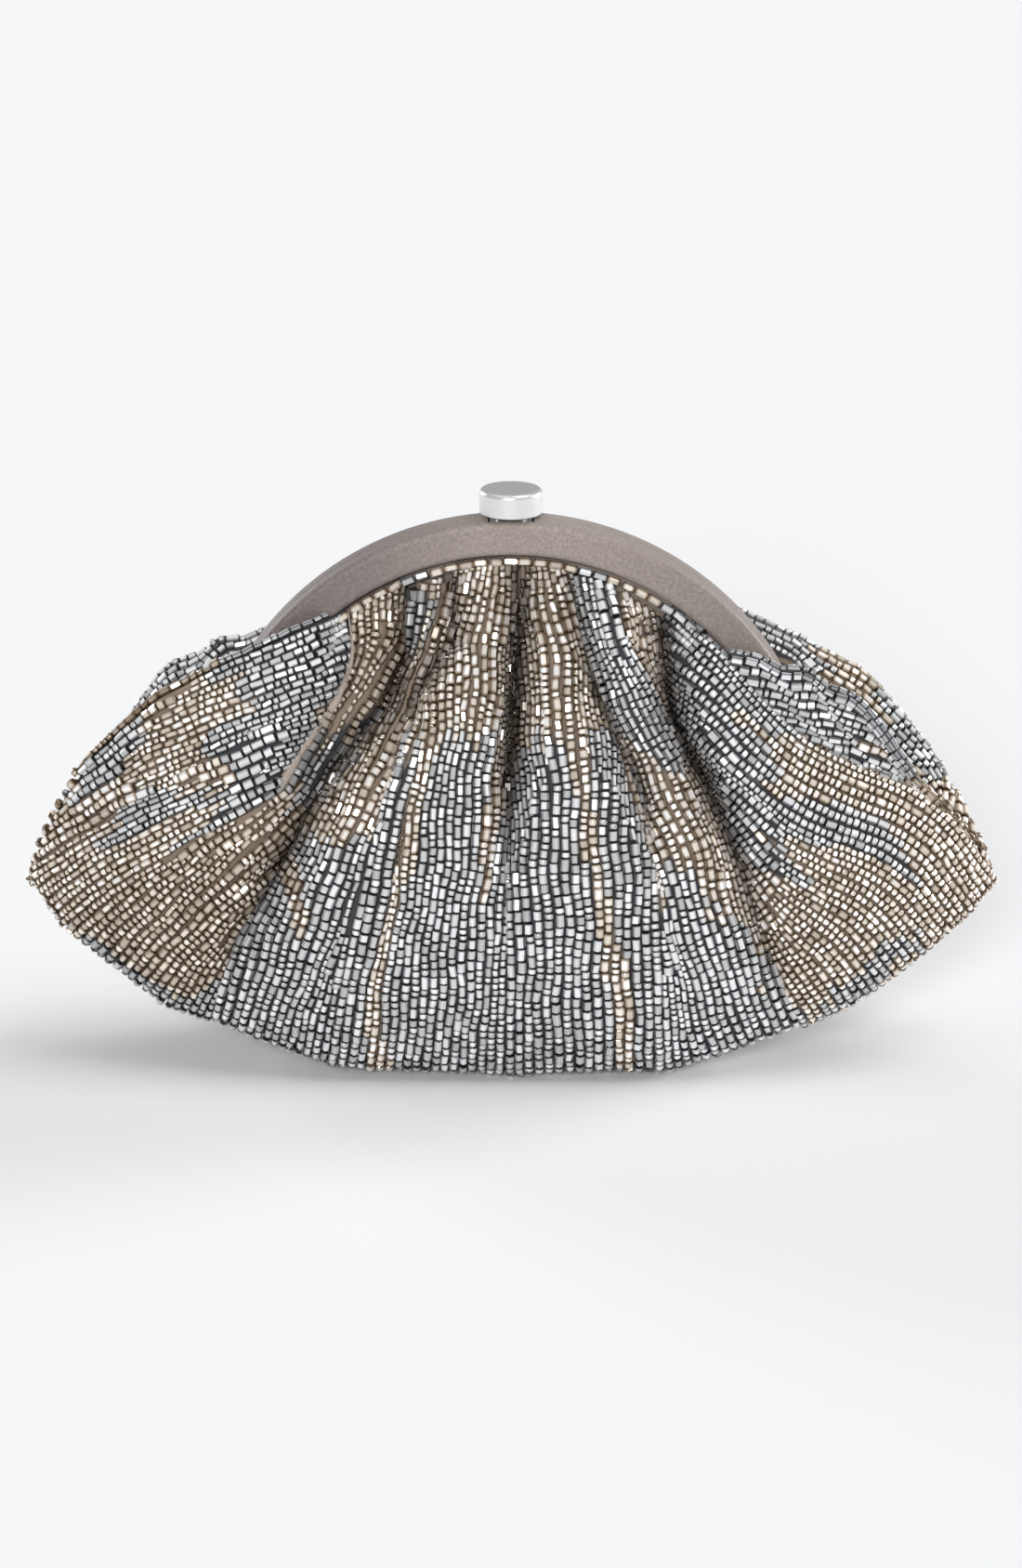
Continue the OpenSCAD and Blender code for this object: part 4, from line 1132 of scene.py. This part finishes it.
# %% Satin, metal and paper
ribbon_cloth = shader("ribbon_cloth", (0.33, 0.27, 0.23), Roughness=0.6, Sheen_Weight=0.2)
lining_satin = shader("lining_satin", (0.30, 0.25, 0.22), Roughness=0.45, Sheen_Weight=0.2)
satin_cover = shader("satin_cover", (0.27, 0.225, 0.2), Roughness=0.5, Sheen_Weight=0.1)
brushed_nickel = shader("brushed_nickel", (0.72, 0.72, 0.725), Metallic=0.6, Roughness=0.3)
steel = shader("steel", (0.55, 0.55, 0.56), Metallic=1.0, Roughness=0.35)
paper = shader("paper", (0.62, 0.56, 0.45), Roughness=0.9)
WEAVE_HEIGHT = 0.0002
GRAIN_STOPS = (0.3, 0.7)
# Painted light across the arch, from the left end to the right: shade, the lit top, lighter shade
SATIN_LIGHT_STOPS = [
    (0, (0.135, 0.108, 0.102)), (0.25, (0.2, 0.163, 0.152)), (0.45, (0.32, 0.268, 0.238)),
    (0.6, (0.32, 0.268, 0.238)), (0.8, (0.27, 0.225, 0.2)), (1, (0.22, 0.178, 0.16)),
]
# Across the arch, from metres to the ramp's 0 to 1
ACROSS_SCALE = 6.5
ACROSS_MIDDLE = 0.5


def painted_light_and_grain(material, stops, scale, strength):
    """Satin with its light painted in, bright on the top of the arch and shaded towards its ends,
    with a fine grain.
    """
    apart = material.node_tree.nodes.new("ShaderNodeSeparateXYZ")
    link(material, coordinates(material), apart.inputs[0])
    across = math_node(
        material, "MULTIPLY_ADD", apart.outputs["X"], ACROSS_SCALE, ACROSS_MIDDLE)
    low, high = GRAIN_STOPS
    grain = ramp(
        material, noise(material, scale, 2), [(low, (1 - strength,) * 3), (high, (1, 1, 1))])
    to_shader(material, multiplied(material, ramp(material, across, stops), grain))


def weave(material, scale, strength):
    """A fine woven bump."""
    bump = material.node_tree.nodes.new("ShaderNodeBump")
    bump.inputs["Strength"].default_value = strength
    bump.inputs["Distance"].default_value = WEAVE_HEIGHT
    link(material, noise(material, scale, 3), bump.inputs["Height"])
    to_shader(material, bump.outputs[0], "Normal")


weave(satin_cover, 1500, 0.8)
painted_light_and_grain(satin_cover, SATIN_LIGHT_STOPS, 1200, 0.3)
weave(lining_satin, 1800, 0.3)
print("materials:", len(bpy.data.materials))

# %% Finishes of the CAD pieces
NODE_FINISHES = (
    (satin_cover, "front_frame_cover back_frame_cover"),
    (paper, "front_paper_cord back_paper_cord"),
    (brushed_nickel, "button_cap latch_housing"),
    (steel, "front_frame_core back_frame_core left_hinge_pin right_hinge_pin button_stem"
            " return_spring stem_collar release_fork housing_rivets latch_spring striker"
            " striker_rivets"),
)
for material, names in NODE_FINISHES:
    for name in names.split():
        for slot in nodes[name].material_slots:
            slot.material = material
    print(material.name, len(names.split()))

# %% [markdown]
# ## Beaded panels
# Each panel is its ground cloth, a little under the beads, and the strings on it. The back could
# be modelled again, but a maker cuts it from the same pattern, so it is the front turned half
# round, with its wings a little higher or lower.

# %% Turning to the back
# How many mm higher or lower the back's wings stand than the front's, over x in mm
BACK_LIFT_X = [-130, -122, -110, -90, -65, -50, 50, 95, 105, 115, 122, 130]
BACK_LIFT = [0, 0.8, 2.2, 2.8, 2, 0, 0, 0, -1.5, -4.2, -3, 0]
BACK_LIFT_EASE = 15


def turned(points, lift=False):
    """Front points turned to the back, with the back's own wings if lift is true."""
    points = points * np.array([-1, -1, 1])
    if lift:
        x, z = points[..., 0] / MM, points[..., 2] / MM
        share = np.clip((z - seam_height(x)) / BACK_LIFT_EASE, 0, 1)
        points[..., 2] += np.interp(x, BACK_LIFT_X, BACK_LIFT) * share * MM
    return points


def on_back(beads, lift=False):
    """The beads turned to the back."""
    keys = ("centre", "axis", "normal")
    return {**beads, **{key: turned(beads[key], lift and key == "centre") for key in keys}}


def bend_with(obj):
    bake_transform(obj)


# %% Ground cloth
GROUND_PX = (70, 1030)
GROUND_COLUMNS = 190
GROUND_ROWS = 90
GROUND_MARGIN = 9
GROUND_STEP = 1.3
CLOTH_STEP = 0.3


def ground_points():
    """A plain sheet just behind the beads, so that no crease looks through to the lining."""
    px = np.linspace(*GROUND_PX, GROUND_COLUMNS)[:, None]
    top = edge_at(TOP_EDGE, px) + GROUND_MARGIN
    low = edge_at(LOW_EDGE, px) - GROUND_MARGIN
    py = mix(top, low, np.linspace(0, 1, GROUND_ROWS)[None, :])
    px = np.broadcast_to(px, py.shape)
    points = on_ray(px, py, np.maximum(depth_at(px, py) - GROUND_STEP, 1) * MM)
    points[..., 2] = np.maximum(points[..., 2], FLOOR_GAP)
    return points


def cloth_object(name, side):
    """The cloth of all lobes with the sheet behind it, and how much light through clear beads
    is painted on it between them.
    """
    grids, painted_light_through_beads = [], []
    for lobe_name, (uu, ww, points, normal) in surfaces.items():
        grids.append(points - normal * CLOTH_STEP * MM)
        px, py = in_picture(grids[-1].reshape(-1, 3))
        # 1 under clear beads, where the light through them is painted on the cloth
        painted_light_through_beads.append(bead_colours(lobe_name, px, py, 0))
    grids.append(ground_points())
    painted_light_through_beads.append(np.full(GROUND_COLUMNS * GROUND_ROWS, 0.5))
    if side == "back":
        grids = [turned(grid, True) for grid in grids]
    obj = grid_object(name, grids, ground_cloth)
    layer = obj.data.attributes.new("painted_light_through_beads", "FLOAT", "POINT")
    layer.data.foreach_set("value", np.concatenate(painted_light_through_beads).astype(np.float32))
    return obj


print("sheet behind the beads:", GROUND_COLUMNS, "by", GROUND_ROWS, "points")

# %% Cloth and beads of both panels
KINDS = ((GREY, "grey", grey_beads), (CHAMPAGNE, "champagne", champagne_beads))

for side in ("front", "back"):
    cloth = cloth_object(side + "_cloth", side)
    bend_with(cloth)
    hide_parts(side + "_panel")
    print(cloth.name, len(cloth.data.polygons))
    beads = front_beads
    if side == "back":
        beads = on_back(front_beads, True)
        beads["kind"] = back_colours(beads["kind"], beads["centre"])
    left = beads["centre"][:, 0] < 0
    for kind, label, material in KINDS:
        for half, in_half in (("left", left), ("right", ~left)):
            part = chosen(beads, (beads["kind"] == kind) & in_half)
            obj = bead_mesh(
                f"{side}_{label}_beads_{half}", part, material)
            bend_with(obj)
            print(obj.name, len(obj.data.polygons))

# %% [markdown]
# ## Bead strand under the lip
# A strand of longer beads covers the edge where the cloth goes into the frame. It could be an
# array along a curve, but the CAD rod that stands for it gives its radius and place, so the
# beads are set out by angle along that arc, and ride with their half of the frame.

# %% Bead strand
TRIM_R = 71.5
TRIM_H = 5.75
TRIM_HALF_ANGLE = 58
TRIM_LENGTH = 3.7 * MM
TRIM_BEAD_R = 1.12 * MM
# Picture px across at which the strand turns grey and back
TRIM_GREY = [(435, 457), (620, 660), (712, 1100)]
TRIM_JITTER = 0.002
TRIM_LENGTH_RANGE = (0.9, 1.04)
TRIM_RADIUS_RANGE = (0.96, 1.04)
# Clear beads show darker here, over the shaded cloth
TRIM_CLEAR_TONE = 0.45


def trim_beads():
    """The strand of the front, as beads set out by angle."""
    half = math.radians(TRIM_HALF_ANGLE)
    count = int(2 * half * TRIM_R * MM / (TRIM_LENGTH + SPACING))
    share = (np.arange(count) + 0.5) / count
    angle = np.radians(mix(-TRIM_HALF_ANGLE, TRIM_HALF_ANGLE, share))
    angle = angle + rng.normal(0, TRIM_JITTER, count)
    out = np.stack([np.sin(angle), np.zeros(count), np.cos(angle)], axis=-1)
    axis = np.stack([np.cos(angle), np.zeros(count), -np.sin(angle)], axis=-1)
    centre = (np.array([0, -TRIM_H, ARCH_Z]) + TRIM_R * out) * MM
    normal = np.tile([0.0, -1.0, 0.0], (count, 1))
    px, _ = in_picture(centre)
    kind = np.full(count, CHAMPAGNE)
    for start, end in TRIM_GREY:
        kind = np.where((px > start) & (px < end), GREY, kind)
    radius = TRIM_BEAD_R * rng.uniform(*TRIM_RADIUS_RANGE, count)
    return dict(
        centre=centre - normal * radius[:, None] * SEAT_SHARE, axis=axis, normal=normal,
        length=np.full(count, TRIM_LENGTH) * rng.uniform(*TRIM_LENGTH_RANGE, count),
        radius=radius, kind=kind, crease=np.zeros(count),
        tone=rng.uniform(0, 1, count) * np.where(kind == GREY, 1, TRIM_CLEAR_TONE))


strand = trim_beads()
for side in ("front", "back"):
    beads = on_back(strand) if side == "back" else strand
    for kind, label, material in KINDS:
        part = chosen(beads, beads["kind"] == kind)
        obj = bead_mesh(f"{side}_trim_{label}", part, material)
        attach(obj, side + "_frame")
        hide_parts(side + "_bead_trim")
print("beads in a strand:", len(strand["length"]))

# %% [markdown]
# ## Ribbon
# A narrow bare tape covers a seam between two lobes. It has no thickness worth modelling, so it
# is a strip of five points across, laid along the seam and raised a little in its middle.

# %% Ribbon
RIBBON_HALF_PX = 6
RIBBON_RISE = 2.4
RIBBON_CROWN = 1.2
RIBBON_GRID = (40, 5)
# The strip narrows to this share towards its foot
RIBBON_FOOT_SHARE = 0.2
RIBBON_TAPER = (1, 0.45)


def ribbon_points():
    """A narrow strip along the seam between two lobes."""
    steps, places = RIBBON_GRID
    along = np.linspace(0, 1, steps)
    middle = spline(RIBBON, along)
    run = np.gradient(middle, axis=0)
    across = np.stack([-run[:, 1], run[:, 0]], axis=-1)
    across /= np.linalg.norm(across, axis=1, keepdims=True)
    k = np.linspace(-1, 1, places)[None, :, None]
    taper = mix(RIBBON_FOOT_SHARE, 1, ease(*RIBBON_TAPER, along))[:, None, None]
    pixels = middle[:, None] + across[:, None] * k * RIBBON_HALF_PX * taper
    depth = depth_at(pixels[..., 0], pixels[..., 1]) + RIBBON_RISE * (RIBBON_CROWN - k[..., 0] ** 2)
    return on_ray(pixels[..., 0], pixels[..., 1], depth * MM)


for side in ("front", "back"):
    points = turned(ribbon_points()) if side == "back" else ribbon_points()
    obj = grid_object(side + "_ribbon", [points], ribbon_cloth)
    bend_with(obj)
    print(obj.name, len(obj.data.polygons))

# %% [markdown]
# ## Linings, folds and pocket
# The lining is a satin bag inside the pouch, sewn into both halves of the frame, with a slip
# pocket on its back. A cloth simulation could hang it, but it may not come through the cloth or
# the other lining at any pose. So it is a sheet whose depth is worked out from the pouch's own
# form, held back from the pleats' valleys, and then smoothed as satin falls.

# %% Form of the lining
LINING_TIP_SHARE = 0.72
LINING_CURVE = 0.12
LINING_LIFT = 6.0
LINING_R = 70.5
LINING_TOP_R = 78.8
LINING_TUCK = 0.06
LINING_HALF_ANGLE = 61
# Degrees from the top at which the edge that is tucked into the frame gets short, and its end
TUCK_TO = 55
TUCK_EASE = 3
TUCK_END_R = 72.4
LINING_BELLY = 25.4
LINING_LIP = 2.4
LINING_POWER = 1.17
LINING_CLOSE = 0.25
LINING_SIDE_ROUND = 2.2
LINING_FOOT_ROUND = 4
LINING_LEAST = 0.4
LINING_ROOM = 2.6
LINING_NEAREST = 0.6
# Places in px round a point at which the cloth is felt for
LINING_REACH = [
    (0, 0), (15, 0), (-15, 0), (0, 14), (0, -14), (10, 10), (-10, 10), (10, -10), (-10, -10)]
LINING_SMOOTH = (1, 3)
LINING_PASSES = 3
GATHERS = 26
GATHER_DEPTH = 0.7
GATHER_DRIFT = (1.3, 5)
GATHER_HEIGHT = (0.35, 0.9)
GATHER_END = 0.3


def gathers(s, w, k):
    """Small folds that run out towards the frame and the foot."""
    drift, waves = GATHER_DRIFT
    wave = GATHER_DEPTH * np.sin(GATHERS * s + drift * np.sin(waves * s))
    return wave * ease(*GATHER_HEIGHT, k) * (k < 1) * (1 - k) ** GATHER_END


def lining_points(s, w):
    """The front's lining: s across from -1 to 1, w up from 0 to 1, then into the frame."""
    k = np.clip(w, 0, 1)
    foot_x = HALF_W * ((1 + LINING_CURVE) * s - LINING_CURVE * s**3) * LINING_TIP_SHARE
    foot_z = seam_height(foot_x) + LINING_LIFT
    degrees = LINING_HALF_ANGLE * s
    angle = np.radians(degrees)
    tuck = mix(TUCK_END_R, LINING_TOP_R, ease(TUCK_TO, TUCK_TO - TUCK_EASE, np.abs(degrees)))
    r = LINING_R + (tuck - LINING_R) * np.clip((w - 1) / LINING_TUCK, 0, 1)
    x = mix(foot_x, r * np.sin(angle), k)
    z = mix(foot_z, ARCH_Z + r * np.cos(angle), k)
    inward = np.clip(1 - (1 - np.abs(s)) / LINING_CLOSE, 0, 1)
    side = (1 - inward**LINING_SIDE_ROUND) ** (1 / LINING_SIDE_ROUND)
    belly = LINING_BELLY * belly_share(x) * side
    low = np.clip(1 - k / BELLY_AT, 0, 1)
    under = belly * (1 - low**LINING_FOOT_ROUND) ** (1 / LINING_FOOT_ROUND)
    q = np.clip((k - BELLY_AT) / (1 - BELLY_AT), 0, 1)
    depth = np.where(k < BELLY_AT, under, mix(belly, LINING_LIP, q**LINING_POWER))
    depth = free = np.maximum(depth + gathers(s, w, k), LINING_LEAST)
    for _ in range(LINING_PASSES):
        px, py = in_picture(np.stack([x, -depth, z], axis=-1) * MM)
        cloth = np.min([depth_at(px + dx, py + dy) for dx, dy in LINING_REACH], axis=0)
        depth = np.minimum(free, np.maximum(cloth - LINING_ROOM, LINING_NEAREST))
    return np.stack([x, -smoothed(depth, LINING_SMOOTH), z], axis=-1) * MM


print("the lining reaches", LINING_HALF_ANGLE, "degrees to each side of the top")

# %% Linings
LINING_GRID = (120, 60)

for side in ("front", "back"):
    points = lining_points(*net((-1, 1), (0, 1 + LINING_TUCK), LINING_GRID))
    if side == "back":
        points = turned(points)
    obj = grid_object(side + "_lining_satin", [points], lining_satin)
    bend_with(obj)
    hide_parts(side + "_lining")
    print(obj.name, len(obj.data.polygons))

# %% Folds of the lining
# A fold of lining closes the gap that opens between the two wings, just under each hinge
FOLD_X = (64.0, 98.0)
FOLD_ROOM = 1.4
FOLD_UNDER_HINGE = 4.5
FOLD_UNDER_EAR = 4
FOLD_SAG = 1.5
FOLD_GRID = (24, 15)
WALL_GUESS = 8.0
WALL_PASSES = 6


def wall_depth(x, z):
    """Depth in mm of the front cloth at x, z, found from a first guess in a few passes."""
    depth = np.full(np.shape(x), WALL_GUESS)
    for _ in range(WALL_PASSES):
        depth = depth_at(*in_picture(np.stack([x, -depth, z], axis=-1) * MM))
    return depth


for side, sign in (("left", -1), ("right", 1)):
    x, k = net(FOLD_X, (-1, 1), FOLD_GRID)
    z = mix(EAR_Z, TIP_Z, ear_share(x)) - FOLD_UNDER_EAR
    z = np.minimum(HINGE_Z - FOLD_UNDER_HINGE, z)
    wall = np.where(k < 0, wall_depth(sign * x, z), wall_depth(-sign * x, z)) - FOLD_ROOM
    points = np.stack([sign * x, k * wall, z - FOLD_SAG * (1 - k**2)], axis=-1) * MM
    obj = grid_object(side + "_lining_fold", [points], lining_satin)
    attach(obj, "bag")
    print(obj.name, len(obj.data.polygons))

# %% Slip pocket
POCKET_W = 62.0
POCKET_LOW = 38.0
POCKET_H = 42.0
POCKET_GAP = 0.6
HEM_RISE = 0.5
HEM_WIDTH = 1.6
POCKET_GRID = (40, 30)

pocket_x, pocket_z = net(
    (-POCKET_W / 2, POCKET_W / 2), (POCKET_LOW, POCKET_LOW + POCKET_H), POCKET_GRID)
pocket_w = (pocket_z - LINING_LIFT) / (ARCH_Z + LINING_R - LINING_LIFT)
foot_reach = HALF_W * (1 + LINING_CURVE) * LINING_TIP_SHARE
pocket_s = pocket_x / mix(foot_reach, LINING_R * math.radians(LINING_HALF_ANGLE), pocket_w)
points = lining_points(pocket_s, pocket_w)
hem = np.exp(-(((pocket_z - POCKET_LOW - POCKET_H) / HEM_WIDTH) ** 2))
points[..., 1] += (POCKET_GAP + HEM_RISE * hem) * MM
obj = grid_object("slip_pocket_satin", [turned(points)], lining_satin)
bend_with(obj)
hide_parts("slip_pocket")

# %% [markdown]
# ## Floor, light and world
# The pouch stands on pale paper in a bright studio, with soft shadows to both sides. Area lamps
# would do, but their light falls off over the floor. Wide suns keep it even, and each one is
# given by its share of the light on the floor, so that the whole level stays at a plain value.

# %% Floor
FLOOR_SIZE = 6
FLOOR_COLOUR = (0.80, 0.805, 0.815)

bm = bmesh.new()
bmesh.ops.create_grid(bm, x_segments=1, y_segments=1, size=FLOOR_SIZE)
floor_mesh = bpy.data.meshes.new("floor")
bm.to_mesh(floor_mesh)
bm.free()
floor_mesh.materials.append(shader("floor_paper", FLOOR_COLOUR, Roughness=0.9))
floor = linked("floor", floor_mesh)
print("floor:", tuple(round(v, 1) for v in floor.dimensions))

# %% Lights and world
# Light that falls on the floor, and for each source its share of it, its height and its
# direction round the pouch (0 is the right, -90 the front) and how wide it is, in degrees
FLOOR_LIGHT = 3.35
LIGHTS = {
    "front": (0.25, 22, -98, 16),
    "right": (0.18, 13, 22, 22),
    "top": (0.28, 62, -20, 40),
    "left_back": (0.09, 14, 138, 22),
    "top_left": (0.09, 70, 180, 40),
}
WORLD_COLOUR = (0.985, 0.99, 1.0)
WORLD_STRENGTH = 0.2

for name, (share, height, way, width) in LIGHTS.items():
    up, round_it = math.radians(height), math.radians(way)
    data = bpy.data.lights.new(name, "SUN")
    data.energy = share * FLOOR_LIGHT / math.sin(up)
    data.angle = math.radians(width)
    lamp = linked(name, data)
    lamp.location = (
        math.cos(up) * math.cos(round_it), math.cos(up) * math.sin(round_it), math.sin(up))
    lamp.rotation_euler = lamp.location.to_track_quat("Z", "Y").to_euler()
    print(name, "sun", round(data.energy, 2))

world = bpy.data.worlds.new("world")
bpy.context.scene.world = world
world.use_nodes = True
background = world.node_tree.nodes["Background"]
background.inputs[0].default_value = (*WORLD_COLOUR, 1)
background.inputs[1].default_value = WORLD_STRENGTH
bpy.context.scene.view_settings.view_transform = "Standard"
